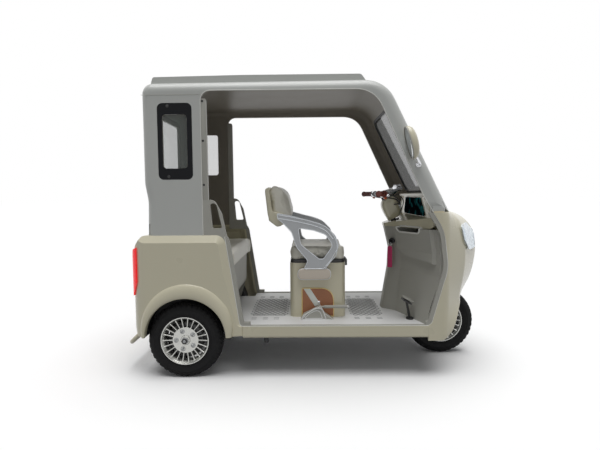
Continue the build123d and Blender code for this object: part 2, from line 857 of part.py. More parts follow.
# Steering column cover: sections square to the steering axis, from its foot up.
column_gap = 10.0
column_foot = neck_top + column_gap


def on_column(along, ahead, across=0.0):
    """Place in the steering axis's frame: up along it from the cover's foot, ahead of it, and across."""
    return Vector(*on_axis(column_foot)) + axis_dir * along + ahead_dir * ahead + Vector(0, across, 0)


# Columns: distance up the axis, half length, half width, offset ahead of the axis.
cover_sections = [
    (0.0, 39.0, 31.0, 6.0),
    (36.0, 51.0, 42.0, 13.0),
    (76.0, 53.0, 46.0, 13.0),
    (112.0, 49.0, 44.0, 15.0),
    (134.0, 38.0, 34.0, 19.0),
]
cover_round = 26.0
cover_faces = []
for along, half_length, half_width, ahead in cover_sections:
    plane = Plane(origin=on_column(along, ahead), x_dir=ahead_dir, z_dir=axis_dir)
    cover_faces.append(plane * RectangleRounded(2 * half_length, 2 * half_width, cover_round))
cover = loft(cover_faces)
cover -= rod(on_axis(0), on_axis(roof_height), stem_radius)
write("column_cover", cover)

# Handlebar with a forward riser on the stem and a clamp. Columns: up the axis, ahead of it, across.
bar_places = [
    (204.0, -69.0, 330.0),
    (178.0, -12.0, 204.6),
    (164.0, 110.0, 99.0),
]
bar_half_points = [on_column(*place) for place in bar_places]
bar_bend = 50.0
bar_points = [tuple(p) for p in bar_half_points] + [(p.X, -p.Y, p.Z) for p in reversed(bar_half_points)]
bar = tube_along(bar_points, bar_bend, bar_radius)
riser_radius = 15.0
clamp_radius = 19.0
clamp_half = 38.0
bar_along, bar_ahead, _ = bar_places[-1]
bar_mid = on_column(bar_along, bar_ahead)
bar += rod(Vector(*on_axis(stem_top)) - axis_dir * riser_radius, bar_mid, riser_radius)
bar += rod(bar_mid - Vector(0, clamp_half, 0), bar_mid + Vector(0, clamp_half, 0), clamp_radius)
write("handlebar", bar - cover - fork)
grip_radius = 16.5
grip_length = 118.0
grip_over = 6.0
grip_dir = (bar_half_points[1] - bar_half_points[0]).normalized()
grip_start = bar_half_points[0] - grip_dir * grip_over
grip = rod(grip_start, grip_start + grip_dir * grip_length, grip_radius) - bar
write("grips", both_sides(grip))

# Leg shield: a bowed skin with flanges along the doorways and a pocket on each side of the column.
shield_wall = 6.0
shield_flange = 25.0
shield_back = 20.0
door_inner = offset(door_face, amount=-trim_width)
door_room = extrude(door_inner, amount=cabin_half - trim_depth, both=True)
shield_top = z_at(0.5012)
foot_room = block(0, wheelbase, -band_depth, band_depth, deck_top, deck_top + 2 * trim_width)
shield = (bow_form(0) - bow_form(shield_wall)) & (door_room + foot_room)
flange_face = door_inner - Pos(-shield_back, 0, 0) * door_inner
flange = extrude(flange_face, amount=cabin_half - trim_depth, both=True)
flange_in = band_depth - shield_flange
flange -= block(0, nose_ahead, -flange_in, flange_in, 0, roof_height)
shield += flange & bow_form(0)
pocket_in = 120.0
pocket_out = 396.0
pocket_stand = 24.0
pocket_floor = offset(outline(pocket_shares), amount=-shield_wall)
pocket = slab(pocket_shares, pocket_in, pocket_out) & bow_form(-pocket_stand)
pocket_middle = Pos(0, (pocket_in + pocket_out) / 2, 0)
pocket_half = (pocket_out - pocket_in) / 2
pocket_room = pocket_middle * extrude(pocket_floor, amount=pocket_half - shield_wall, both=True)
pocket_room &= bow_form(shield_wall - pocket_stand)
mouth_half = 92.0
mouth_height = 26.0
mouth_y = 232.0
mouth_face = Pos(mouth_y, shield_top) * SlotOverall(2 * mouth_half, 2 * mouth_height)
mouth_front = x_at(0.9)
mouth = extrude(Plane.YZ * mouth_face, amount=mouth_front)
leg_shield = shield + both_sides(pocket) - both_sides(pocket_room) - both_sides(mouth)
leg_shield &= block(0, nose_ahead, -body_half, body_half, deck_top, shield_top)
column_room = 12.0
column_hole = rod(on_axis(deck_top), on_axis(roof_height), head_radius + column_room)
leg_shield = leg_shield - column_hole - roof - cowl - band - down_space - deck
write("leg_shield", leg_shield)
dash = dash_outer - column_hole - roof - cowl - band
dash_room_face = offset(outline(dash_shares), amount=-shield_wall)
dash_room = extrude(dash_room_face, amount=dash_half - shield_wall, both=True)
dash_room &= bow_form(shield_wall - ledge_stand)
dash -= dash_room
write("dash", dash)

# Driver's seat: box, lid with cushion, armrests and backrest.
box_front = box_rear + box_length
box_wall = 6.0
box_corner = 40.0
seat_x = (box_rear + box_front) / 2


def box_form(grow, low, high):
    face = RectangleRounded(box_length + 2 * grow, 2 * (box_half + grow), box_corner + grow)
    return Pos(seat_x, 0, low) * extrude(face, amount=high - low)


seat_box = box_form(0, deck_top, box_top) - box_form(-box_wall, deck_top + box_wall, box_top + overrun)
write("seat_box", seat_box)
lid_inset = 4.0
lid_low = box_top + clear
hinge_radius = 7.0
pin_radius = 3.0
hinge_gap = 1.5
hinge_x = box_front + hinge_radius + hinge_gap
hinge_z = box_top + hinge_radius + hinge_gap
knuckle_half = 30.0
ear_width = 12.0
ear_drop = 34.0
hinge_y = 140.0
leaf_drop = 3.5
leaf_reach = 20.0
lid = box_form(-lid_inset, lid_low, lid_low + lid_height)
seat_hinge = None
for end in (-1, 1):
    y = end * hinge_y
    low, high = y - knuckle_half, y + knuckle_half
    lid += block(box_front - leaf_reach, hinge_x, low, high, hinge_z - leaf_drop, lid_low + lid_height)
    lid += rod((hinge_x, low, hinge_z), (hinge_x, high, hinge_z), hinge_radius)
    gap_low, gap_high = low - hinge_gap, high + hinge_gap
    ear_low, ear_high = gap_low - ear_width, gap_high + ear_width
    ears = rod((hinge_x, ear_low, hinge_z), (hinge_x, ear_high, hinge_z), hinge_radius)
    ears += block(box_front, hinge_x + hinge_radius, ear_low, ear_high, hinge_z - ear_drop, hinge_z)
    gap_floor = hinge_z - hinge_radius - hinge_gap
    ears -= block(box_rear, hinge_x + overrun, gap_low, gap_high, gap_floor, hinge_z + overrun)
    ears += rod((hinge_x, ear_low, hinge_z), (hinge_x, ear_high, hinge_z), pin_radius)
    seat_hinge = ears if seat_hinge is None else seat_hinge + ears
lid -= rod((hinge_x, -box_half, hinge_z), (hinge_x, box_half, hinge_z), pin_radius + running)
write("seat_hinge", seat_hinge)
write("seat_lid", lid)
cushion_low = lid_low + lid_height + clear
cushion_inset = 5.0
cushion = box_form(-cushion_inset, cushion_low, cushion_low + cushion_height)
write("seat_cushion", cushion)
arm_gap = 12.0
arm_low = box_half + arm_gap
arm_thick = 28.0
arm_high = arm_low + arm_thick
armrest = slab(armrest_shares, arm_low, arm_high)
armrest -= slab(armrest_gap_shares, arm_low - overrun, arm_high + overrun)
write("armrests", both_sides(armrest))
pad_low = z_at(0.3206)
pad_high = z_at(arm_foot_share)
pad_rear = x_at(0.4115)
pad_front = x_at(0.5357)
arm_pad = block(pad_rear, pad_front, box_half, arm_high, pad_low, pad_high)
write("armrest_pads", both_sides(arm_pad))
backrest_half = 236.0
wing_gap = 4.0
wing = slab(backrest_wing_shares, backrest_half + wing_gap, arm_low)
shell_back = prism(backrest_shell_shares, arm_low) + both_sides(wing)
write("backrest_shell", shell_back)
write("backrest_pad", prism(backrest_pad_shares, backrest_half) - shell_back)

# Passenger bench: base panel, cushion and back pad.
bench_half = 400.0
bench_front = x_at(0.1879)
bench_top = z_at(0.4276)
bench_low = z_at(0.3714)
base_front = x_at(0.1656)
base_wall = 6.0
base_gap = 8.0
shelf_over = 20.0
back_thick = 56.0
back_gap = 4.0
bench_rear = x_at(-0.11)
base_half = liner_in - base_gap
base = prism(base_shares, base_half)
base_room = offset(outline(base_shares), amount=-base_wall)
base -= extrude(base_room + Pos(0, 0, -overrun) * base_room, amount=base_half - base_wall, both=True)
shelf_half = bench_half + shelf_over
base += block(bench_rear, base_front, -shelf_half, shelf_half, bench_low - base_wall, bench_low)
write("bench_base", base)
back_front = bench_rear + back_thick
back_top = z_at(0.68)
bench_floor = bench_low + clear
bench_cushion = block(back_front + back_gap, bench_front, -bench_half, bench_half, bench_floor, bench_top)
write("bench_cushion", bench_cushion)
bench_back = block(bench_rear, back_front, -bench_half, bench_half, bench_floor, back_top)
write("bench_back", bench_back)
battery_half = 200.0
battery_height = 190.0
battery_room = 40.0
battery_rear = bench_rear + base_wall + battery_room
base_foot = x_at(0.1369)
battery_front = base_foot - base_wall - battery_room
battery = block(battery_rear, battery_front, -battery_half, battery_half, deck_top, deck_top + battery_height)
write("battery_block", battery)

# Display on the dash, mirrors on the pillars, wiper, brake lever, brake pedal and ignition lock.
display_low_half = 284.0
display_high_half = 190.0
display_round = 14.0
display_low = z_at(0.543)
display_high = z_at(0.6107)
display_corners = [
    (-display_low_half, display_low),
    (display_low_half, display_low),
    (display_high_half, display_high),
    (-display_high_half, display_high),
]
display_front = make_face(FilletPolyline(*display_corners, radius=display_round, close=True))
display = prism(display_shares, dash_half) & extrude(Plane.YZ * display_front, amount=wheelbase)
display -= dash_outer
write("display_panel", display)
screen_row = 4
head_share, brow_share, _ = canopy_shares[screen_row]
foot_share, chin_share, _ = canopy_shares[screen_row + 1]
screen_head = Vector(x_at(head_share), 0, z_at(brow_share))
screen_foot = Vector(x_at(foot_share), 0, z_at(chin_share))
up_dir = (screen_head - screen_foot).normalized()
across_dir = Vector(0, 1, 0)
out_dir = across_dir.cross(up_dir).normalized()


def on_front(height, y):
    """Place on the sloping front of the canopy at a height."""
    along = (height - screen_foot.Z) / up_dir.Z
    return screen_foot + up_dir * along + across_dir * y


mirror_width = 118.0
mirror_height = 182.0
mirror_depth = 44.0
mirror_lean = 14.0
mirror_x = x_at(0.797)
mirror_y = 508.0
mirror_z = z_at(0.786)
mirror_plane = Plane(
    origin=(mirror_x, mirror_y, mirror_z),
    x_dir=(0, 1, 0),
    z_dir=(cos(radians(mirror_lean)), 0, sin(radians(mirror_lean))),
)
mirror_face = Ellipse(mirror_width / 2, mirror_height / 2)
mirror_rim = 17.6
mirror_back = mirror_depth - mirror_rim
mirror_taper = 38.0
mirror_case = extrude(mirror_plane * mirror_face, amount=mirror_rim)
mirror_case += extrude(mirror_plane.offset(mirror_rim) * mirror_face, amount=mirror_back, taper=mirror_taper)
boss_radius = 9.0
boss_stand = 34.0
boss_x = x_at(0.8389)
boss_z = z_at(0.7207)
stalk_y = cabin_half + boss_stand
stalk_radius = 7.2
stalk_drop = 54.6
stalk_depth = 13.2
mirror_case += rod((boss_x, cabin_half + clear, boss_z), (boss_x, stalk_y, boss_z), boss_radius)
stalk_end = mirror_plane.origin - Vector(0, 0, stalk_drop) + mirror_plane.z_dir * stalk_depth
mirror_case += rod((boss_x, stalk_y - boss_radius, boss_z), stalk_end, stalk_radius)
write("mirrors", both_sides(mirror_case))
wiper_base = z_at(0.598)
wiper_y = 60.0
wiper_reach = 300.0
wiper_out = 16.0
wiper_lean = 70.0
wiper_boss = 24.0
boss_half = 11.0
arm_radius = 5.0
blade_radius = 6.0
blade_up = 170.0
blade_down = 190.0
blade_lean = 0.158
arm_start = on_front(wiper_base, wiper_y)
arm_end = arm_start + up_dir * wiper_reach + out_dir * wiper_out - across_dir * wiper_lean
wiper = rod(arm_start, arm_start + out_dir * wiper_boss, boss_half)
wiper += rod(arm_start + out_dir * wiper_out, arm_end, arm_radius)
blade_dir = up_dir - across_dir * blade_lean
wiper += rod(arm_end - blade_dir * blade_down, arm_end + blade_dir * blade_up, blade_radius)
write("wiper", wiper - canopy_outer)
brake_gap = 14.0
brake_low = box_half + brake_gap
brake_width = 50.0
brake_house = slab(brake_shares, -brake_low - brake_width, -brake_low)
brake_y = -brake_low - brake_width / 2
lever_radius = 6.5
lever_start = (x_at(0.497), brake_y, z_at(0.222))
lever_end = (x_at(0.6), brake_y, z_at(0.2228))
brake = brake_house + rod(lever_start, lever_end, lever_radius)
write("parking_brake", brake)
pedal_y = -300.0
pedal_half = 32.0
pedal_length = 56.0
pedal_thick = 9.0
pedal_tilt = 28.0
pedal_foot = (x_at(0.8344), pedal_y, deck_top)
pedal_top = (x_at(0.8217), pedal_y, z_at(0.2434))
pedal_arm = 7.0
foot_length = 44.0
foot_width = 52.0
foot_height = 8.0
pedal = Pos(*pedal_foot) * extrude(Ellipse(foot_length / 2, foot_width / 2), amount=foot_height)
pedal += rod(pedal_foot, pedal_top, pedal_arm)
pedal += Pos(*pedal_top) * Rot(0, pedal_tilt, 0) * Box(pedal_length, 2 * pedal_half, pedal_thick)
pedal -= block(0, nose_ahead, -body_half, 0, 0, deck_top)
write("brake_pedal", pedal - bow_form(-clear))
lock_place = Vector(x_at(0.7987), -(bow_middle + bow_wing) / 2, z_at(0.4456))
lock_turn = 40.0
lock_dir = Vector(-cos(radians(lock_turn)), -sin(radians(lock_turn)), 0)
lock_radius = 15.0
lock_out = 14.0
key_reach = 24.0
key_half = 9.0
tag_length = 136.0
tag_half = 13.0
tag_thick = 4.0
lock = rod(lock_place - lock_dir * lock_out, lock_place + lock_dir * lock_out, lock_radius)
lock += rod(lock_place + lock_dir * lock_out, lock_place + lock_dir * (lock_out + key_reach), key_half)
tag_plane = Plane(origin=lock_place + lock_dir * (lock_out + key_reach / 2), x_dir=(0, 0, 1), z_dir=lock_dir)
lock += extrude(tag_plane * Pos(-tag_length / 2, 0) * Rectangle(tag_length, 2 * tag_half), amount=tag_thick)
write("ignition_key", lock - bow_form(0))
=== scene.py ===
import json
from math import asin, cos, pi, radians, sin, tan

import bmesh
import bpy
from mathutils import Matrix, Vector
from mathutils.bvhtree import BVHTree


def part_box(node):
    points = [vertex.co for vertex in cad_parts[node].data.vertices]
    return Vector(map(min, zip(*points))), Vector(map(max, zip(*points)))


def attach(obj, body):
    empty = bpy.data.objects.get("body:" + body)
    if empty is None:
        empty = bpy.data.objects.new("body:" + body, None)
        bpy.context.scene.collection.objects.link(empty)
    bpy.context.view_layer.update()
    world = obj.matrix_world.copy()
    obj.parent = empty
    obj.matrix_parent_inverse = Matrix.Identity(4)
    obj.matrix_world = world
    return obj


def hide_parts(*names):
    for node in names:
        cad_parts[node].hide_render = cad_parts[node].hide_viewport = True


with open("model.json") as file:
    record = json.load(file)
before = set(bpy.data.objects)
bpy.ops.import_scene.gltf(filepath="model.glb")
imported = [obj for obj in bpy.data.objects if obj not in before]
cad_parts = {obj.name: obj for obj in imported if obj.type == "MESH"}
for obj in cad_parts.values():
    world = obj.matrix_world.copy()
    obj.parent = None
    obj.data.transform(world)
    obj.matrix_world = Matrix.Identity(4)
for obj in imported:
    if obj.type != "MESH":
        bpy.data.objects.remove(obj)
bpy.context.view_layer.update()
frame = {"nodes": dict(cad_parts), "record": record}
nodes = frame["nodes"]

# Places are given in millimetres from the rear axle's middle, X forward, Y left and Z up from the ground.
MM = 0.001
SIDES = {1: "left", -1: "right"}
UP = Vector((0, 0, 1))
rear_low, rear_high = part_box("rear_left_rim")
front_low, front_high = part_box("front_rim")
axle_x = (rear_low.x + rear_high.x) / 2
wheelbase = (front_low.x + front_high.x) / 2 - axle_x


def at(x, y, z):
    """Point of the frame from vehicle millimetres."""
    return Vector((axle_x + x * MM, y * MM, z * MM))


def turns(count):
    """Angles that part a full turn into equal steps."""
    return [2 * pi * step / count for step in range(count)]


def both(build):
    """What a builder makes on the left and on the right."""
    return [build(side, word) for side, word in SIDES.items()]


# Materials

# Kinds of texture: node, output and settings.
TEXTURES = {
    "drift": ("ShaderNodeTexNoise", "Fac", {"Detail": 4.0}),
    "grain": ("ShaderNodeTexNoise", "Fac", {"Detail": 3.0}),
    "fine": ("ShaderNodeTexNoise", "Fac", {"Detail": 2.0}),
    "cells": ("ShaderNodeTexVoronoi", "Distance", {"feature": "DISTANCE_TO_EDGE"}),
    "facets": ("ShaderNodeTexVoronoi", "Distance", {"feature": "F1"}),
    "weave": ("ShaderNodeTexChecker", "Fac", {}),
    "ribs": ("ShaderNodeTexWave", "Fac", {"bands_direction": "Z"}),
    "sweep": ("ShaderNodeTexWave", "Fac", {"Distortion": 6.0, "Detail": 2.0}),
}


def srgb(red, green, blue):
    """Linear colour from 0 to 255 display values."""
    made = []
    for value in (red, green, blue):
        share = value / 255
        made.append(share / 12.92 if share <= 0.04045 else ((share + 0.055) / 1.055) ** 2.4)
    return (*made, 1.0)


def shaded(colour, factor):
    """The colour made lighter or darker."""
    return (*[min(1.0, c * factor) for c in colour[:3]], 1.0)


class Finish:
    """A node material under construction, in object coordinates."""

    def __init__(self, name, colour, rough, metal=0.0, coat=0.0):
        self.material = bpy.data.materials.new(name)
        self.material.use_nodes = True
        self.tree = self.material.node_tree
        self.shader = self.tree.nodes["Principled BSDF"]
        self.colour = srgb(*colour)
        self.set(Base_Color=self.colour, Roughness=rough, Metallic=metal, Coat_Weight=coat, Coat_Roughness=0.12)
        self.coords = self.tree.nodes.new("ShaderNodeTexCoord").outputs["Object"]
        self.normal = None

    def node(self, kind, **values):
        """New node; each value goes to the input of its name, or else to the setting."""
        made = self.tree.nodes.new(kind)
        for key, value in values.items():
            if key in made.inputs:
                made.inputs[key].default_value = value
            else:
                setattr(made, key, value)
        return made

    def link(self, output, target):
        self.tree.links.new(output, target)

    def set(self, **values):
        for key, value in values.items():
            self.shader.inputs[key.replace("_", " ")].default_value = value

    def texture(self, kind, scale, stretch=None):
        """Output of a texture, with its own scale along each axis where a stretch is given."""
        node_kind, output, values = TEXTURES[kind]
        made = self.node(node_kind, Scale=scale, **values)
        place = self.coords
        if stretch:
            mapping = self.node("ShaderNodeMapping", Scale=stretch)
            self.link(self.coords, mapping.inputs["Vector"])
            place = mapping.outputs["Vector"]
        self.link(place, made.inputs["Vector"])
        return made.outputs[output]

    def ramp(self, source, low, high):
        made = self.node("ShaderNodeMapRange", **{"To Min": low, "To Max": high})
        self.link(source, made.inputs["Value"])
        return made.outputs["Result"]

    def blend(self, share, first, second):
        """Base colour between two colours, of which the first may be a node's output."""
        mix = self.node("ShaderNodeMix", data_type="RGBA")
        self.link(share, mix.inputs["Factor"])
        if isinstance(first, tuple):
            mix.inputs[6].default_value = first
        else:
            self.link(first, mix.inputs[6])
        mix.inputs[7].default_value = second
        self.link(mix.outputs[2], self.shader.inputs["Base Color"])

    def mottle(self, scale, amount, stretch=None):
        """Colour that drifts by a small amount over the surface."""
        darker, lighter = shaded(self.colour, 1 - amount), shaded(self.colour, 1 + amount)
        self.blend(self.texture("drift", scale, stretch), darker, lighter)

    def gloss(self, scale, low, high):
        """Roughness that drifts between two values."""
        self.link(self.ramp(self.texture("grain", scale), low, high), self.shader.inputs["Roughness"])

    def relief(self, kind, scale, depth):
        """Bump of a depth in millimetres, stacked on what is there."""
        bump = self.node("ShaderNodeBump", Strength=1.0, Distance=depth * MM)
        self.link(self.texture(kind, scale), bump.inputs["Height"])
        if self.normal:
            self.link(self.normal, bump.inputs["Normal"])
        self.normal = bump.outputs["Normal"]
        self.link(self.normal, self.shader.inputs["Normal"])

    def inward_tone(self, shine):
        """Dull brownish grey on the faces that look towards the middle of the cabin; shine is for the others."""
        cabin_middle = at(550, 0, 1200)
        inward_colour = srgb(142, 136, 126)
        inward_shine = 0.12
        inward = -0.02
        coords = self.node("ShaderNodeTexCoord")
        reach = self.node("ShaderNodeVectorMath", operation="SUBTRACT")
        reach.inputs[1].default_value = cabin_middle
        self.link(coords.outputs["Object"], reach.inputs[0])
        facing = self.node("ShaderNodeVectorMath", operation="DOT_PRODUCT")
        self.link(coords.outputs["Normal"], facing.inputs[0])
        self.link(reach.outputs["Vector"], facing.inputs[1])
        compare = self.node("ShaderNodeMath", operation="LESS_THAN")
        compare.inputs[1].default_value = inward
        self.link(facing.outputs["Value"], compare.inputs[0])
        inside = compare.outputs[0]
        coat = self.shader.inputs["Coat Weight"]
        self.blend(inside, self.shader.inputs["Base Color"].links[0].from_socket, inward_colour)
        self.link(self.ramp(inside, coat.default_value, 0.0), coat)
        self.link(self.ramp(inside, shine, inward_shine), self.shader.inputs["Specular IOR Level"])


def finished(name, colour, rough, mottle, gloss=None, reliefs=(), metal=0.0, coat=0.0, **values):
    """Finish with its drift of colour and of gloss, and with reliefs as kind, scale and depth."""
    finish = Finish(name, colour, rough, metal, coat)
    finish.mottle(*mottle)
    if gloss:
        finish.gloss(*gloss)
    for row in reliefs:
        finish.relief(*row)
    finish.set(**values)
    return finish


def display_finish():
    """Dark glass panel without a specular highlight, with a painted reflection: a soft teal band in its colour that
    sweeps across it.
    """
    finish = Finish("display_glass", (14, 20, 26), 0.3)
    finish.set(Specular_IOR_Level=0.0)
    # Painted reflection: lighter teal streaks in the base colour.
    painted_reflection = finish.texture("sweep", 5.0, (1.0, 2.2, 3.0))
    finish.blend(finish.ramp(painted_reflection, -0.9, 1.0), srgb(12, 18, 24), srgb(44, 122, 128))
    return finish


# By slot, or by a name of their own: material name, colour, roughness, drift of colour, drift of gloss, reliefs.
finishes = {
    "silver_shell": finished(
        "satin_shell", (190, 192, 188), 0.38, (3, 0.035), (9, 0.32, 0.44), [("fine", 420, 0.06)], coat=0.25),
    "inward_toned_shell": finished(
        "inward_toned_shell", (190, 192, 188), 0.38, (3, 0.035), (9, 0.34, 0.46), [("fine", 420, 0.06)], coat=0.25),
    "cream_panel": finished(
        "cream_paint", (210, 204, 178), 0.3, (2.2, 0.03), (6, 0.24, 0.34), [("fine", 260, 0.05)], coat=0.4),
    "grey_trim": finished(
        "grained_grey", (172, 171, 163), 0.55, (5, 0.05), (14, 0.5, 0.62), [("cells", 900, 0.12)]),
    "deck_grey": finished("pale_deck", (228, 228, 227), 0.5, (4, 0.06), (12, 0.42, 0.6), [("cells", 700, 0.15)]),
    "black_plastic": finished(
        "black_plastic", (26, 26, 27), 0.5, (20, 0.15), (20, 0.42, 0.58), [("cells", 1200, 0.08)]),
    "frame_black": finished("frame_black", (11, 13, 18), 0.22, (20, 0.15), (16, 0.18, 0.28)),
    "black_steel": finished(
        "black_enamel", (20, 20, 21), 0.35, (12, 0.2), (10, 0.28, 0.45), [("grain", 90, 0.15)], coat=0.3),
    "cast_aluminium": finished(
        "satin_alloy", (152, 154, 156), 0.42, (30, 0.05), (22, 0.28, 0.42), [("grain", 600, 0.08)], metal=0.55),
    "chrome": finished("chrome", (214, 215, 218), 0.08, (25, 0.03), (40, 0.05, 0.12), metal=1),
    "wheel_alloy": finished(
        "turned_alloy", (190, 190, 186), 0.25, (18, 0.05), (30, 0.18, 0.3), [("grain", 700, 0.03)], metal=0.9),
    "tyre": finished(
        "tyre_rubber", (17, 17, 18), 0.78, (9, 0.18), (12, 0.7, 0.86), [("grain", 500, 0.15)],
        Specular_IOR_Level=0.25),
    "rubber_seal": finished("seal_rubber", (18, 18, 18), 0.6, (30, 0.2), (20, 0.5, 0.66)),
    "screen_glass": finished("screen_glass", (62, 70, 70), 0.05, (6, 0.5, (1, 3, 1)), Alpha=0.7, IOR=1.45),
    "pale_edge": finished("pale_edge", (226, 226, 220), 0.4, (20, 0.04), (20, 0.34, 0.48)),
    # Also the painted highlight on the armrest beads and rims.
    "bright_edge": finished("bright_edge", (226, 230, 234), 0.3, (30, 0.05), (20, 0.26, 0.38), metal=0.2),
    "plate_beige": finished("plate_beige", (212, 201, 186), 0.4, (8, 0.03), (12, 0.36, 0.46), coat=0.2),
    "deck_print": finished("deck_print", (132, 133, 134), 0.6, (30, 0.08), reliefs=[("cells", 700, 0.1)]),
    "clear_glass": finished("tinted_pane", (128, 140, 138), 0.04, (1.5, 0.05), Alpha=0.22, IOR=1.45),
    "lamp_lens": finished(
        "faceted_lens", (206, 220, 236), 0.1, (38, 0.3), reliefs=[("facets", 46, 4)], metal=0.6, coat=1),
    "red_lens": finished(
        "red_lens", (232, 4, 26), 0.25, (40, 0.12), reliefs=[("facets", 160, 0.5)], coat=0.1,
        Emission_Color=srgb(255, 6, 20), Emission_Strength=0.4, Specular_IOR_Level=0.2),
    "dark_gloss": display_finish(),
    "grip_rubber": finished(
        "brown_grip", (104, 47, 38), 0.5, (40, 0.18), (30, 0.42, 0.6), [("cells", 1500, 0.1)]),
    "cream_leather": finished(
        "pale_leather", (224, 221, 208), 0.45, (7, 0.04), (18, 0.4, 0.54),
        [("cells", 520, 0.22), ("drift", 24, 0.7)], coat=0.1),
    "battery_case": finished(
        "battery_case", (52, 53, 56), 0.6, (10, 0.1), (12, 0.5, 0.7), [("cells", 900, 0.1)]),
    "brown_patch": finished(
        "brown_patch", (168, 112, 78), 0.5, (14, 0.12), reliefs=[("weave", 420, 0.25)], coat=0.1),
    "gold_edge": finished("gold_piping", (240, 214, 146), 0.4, (50, 0.08), (40, 0.3, 0.45)),
    "pale_band": finished("pale_band", (236, 240, 232), 0.5, (16, 0.06), reliefs=[("grain", 300, 0.1)]),
    "tag_cloth": finished(
        "magenta_webbing", (206, 52, 108), 0.8, (80, 0.15), reliefs=[("ribs", 260, 0.3)], Sheen_Weight=0.4),
    "amber_lens": finished(
        "amber_lens", (226, 96, 16), 0.15, (60, 0.15), reliefs=[("facets", 300, 0.3)], coat=1),
    "mirror_glass": finished("mirror_glass", (220, 224, 226), 0.02, (4, 0.02), metal=1),
}
# Inward faces: darker brownish grey on the roof and rear cabin, and brownish grey instead of black on the window
# frames.
finishes["inward_toned_shell"].inward_tone(shine=0.5)
finishes["frame_black"].inward_tone(shine=0.15)
materials = {key: finish.material for key, finish in finishes.items()}


# Mesh helpers

def in_scene(name, data):
    """New object that shows in the scene."""
    obj = bpy.data.objects.new(name, data)
    bpy.context.scene.collection.objects.link(obj)
    return obj


def to_object(name, bm):
    """Object of what was drawn."""
    mesh = bpy.data.meshes.new(name)
    bm.to_mesh(mesh)
    bm.free()
    return in_scene(name, mesh)


def shade_smooth(mesh):
    for polygon in mesh.polygons:
        polygon.use_smooth = True


def placed(name, bm, key, body="chassis", angle=35.0):
    """Object of what was drawn, smooth apart from its sharp edges, that rides on a body."""
    bmesh.ops.recalc_face_normals(bm, faces=bm.faces)
    obj = to_object(name, bm)
    obj.data.materials.append(materials[key])
    shade_smooth(obj.data)
    obj.data.set_sharp_from_angle(angle=radians(angle))
    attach(obj, body)
    return obj


def arc_corners(points, radii, steps=6):
    """Flat outline or route in which each corner is an arc of its radius; a radius of 0 keeps the point."""
    made = []
    count = len(points)
    longest_share = 0.49
    for index, (point, radius) in enumerate(zip(points, radii)):
        corner = Vector(point)
        if not radius:
            made.append(corner)
            continue
        back = Vector(points[index - 1]) - corner
        ahead = Vector(points[(index + 1) % count]) - corner
        half = back.angle(ahead) / 2
        reach = min(radius / tan(half), longest_share * back.length, longest_share * ahead.length)
        start = corner + back.normalized() * reach
        end = corner + ahead.normalized() * reach
        for step in range(steps + 1):
            t = step / steps
            made.append(start * (1 - t) ** 2 + corner * 2 * t * (1 - t) + end * t ** 2)
    return made


def side_plate(name, outline, low, high, key, bevel=0.0, segments=3):
    """Flat piece whose outline is in X and Z millimetres, between two places across the vehicle."""
    bm = bmesh.new()
    face = bm.faces.new([bm.verts.new(at(x, low, z)) for x, z in outline])
    moved = bmesh.ops.extrude_face_region(bm, geom=[face])
    shift = Vector((0, (high - low) * MM, 0))
    for item in moved["geom"]:
        if isinstance(item, bmesh.types.BMVert):
            item.co += shift
    if bevel:
        sharp, level = radians(50), 1e-6
        rims = [e for e in bm.edges if len(e.link_faces) == 2 and e.calc_face_angle(0) > sharp
                and abs(e.verts[0].co.y - e.verts[1].co.y) < level]
        bmesh.ops.bevel(bm, geom=rims, offset=bevel * MM, segments=segments, affect="EDGES", profile=0.5)
    return placed(name, bm, key)


def skin(bm, rings, ends="cap", closed=True):
    """Faces over rings of points of equal count; the ends are capped, left open or joined to each other."""
    made = [[bm.verts.new(point) for point in ring] for ring in rings]
    count = len(made[0])
    following = made[1:] + (made[:1] if ends == "join" else [])
    for a, b in zip(made, following):
        for k in range(count if closed else count - 1):
            other = (k + 1) % count
            bm.faces.new((a[k], a[other], b[other], b[k]))
    if ends == "cap":
        bm.faces.new(list(reversed(made[0])))
        bm.faces.new(made[-1])


def skinned(name, rings, key, body="chassis", angle=35.0, ends="cap"):
    """Piece that skin draws."""
    bm = bmesh.new()
    skin(bm, rings, ends)
    return placed(name, bm, key, body, angle)


def lathe_mesh(bm, profile, steps, centre, closed=True, wave=None):
    """Surface turned about the Y axis from rows of radius and offset in millimetres."""
    rings = []
    for step, angle in enumerate(turns(steps)):
        ring = []
        for index, (radius, offset) in enumerate(profile):
            r = radius + (wave(step, index) if wave else 0.0)
            ring.append(centre + Vector((r * cos(angle), offset, r * sin(angle))) * MM)
        rings.append(ring)
    skin(bm, rings, "join", closed)


def tube_mesh(bm, points, radius, sides, squash=1.0, taper=None):
    """Round tube through points, with flat ends; radius in millimetres."""
    rings = []
    previous = None
    for index, point in enumerate(points):
        ahead = points[min(index + 1, len(points) - 1)] - points[max(index - 1, 0)]
        ahead.normalize()
        side = previous or ahead.orthogonal().normalized()
        side = (side - ahead * side.dot(ahead)).normalized()
        previous = side
        up = ahead.cross(side)
        size = radius * MM * (taper(index / (len(points) - 1)) if taper else 1.0)
        rings.append([point + (side * cos(a) + up * sin(a) * squash) * size for a in turns(sides)])
    skin(bm, rings)


def smooth_path(points):
    """Points along a smooth curve that passes through the given ones."""
    steps = 6
    made = []
    ends = [points[0] * 2 - points[1], *points, points[-1] * 2 - points[-2]]
    for a, b, c, d in zip(ends, ends[1:], ends[2:], ends[3:]):
        for step in range(steps):
            t = step / steps
            made.append(0.5 * ((2 * b) + (c - a) * t + (2 * a - 5 * b + 4 * c - d) * t ** 2
                               + (3 * b - a - 3 * c + d) * t ** 3))
    made.append(points[-1].copy())
    return made


def tube(name, points, radius, key, body="chassis", sides=8, squash=1.0, taper=None):
    """Tube through points as they are."""
    bm = bmesh.new()
    tube_mesh(bm, points, radius, sides, squash, taper)
    return placed(name, bm, key, body)


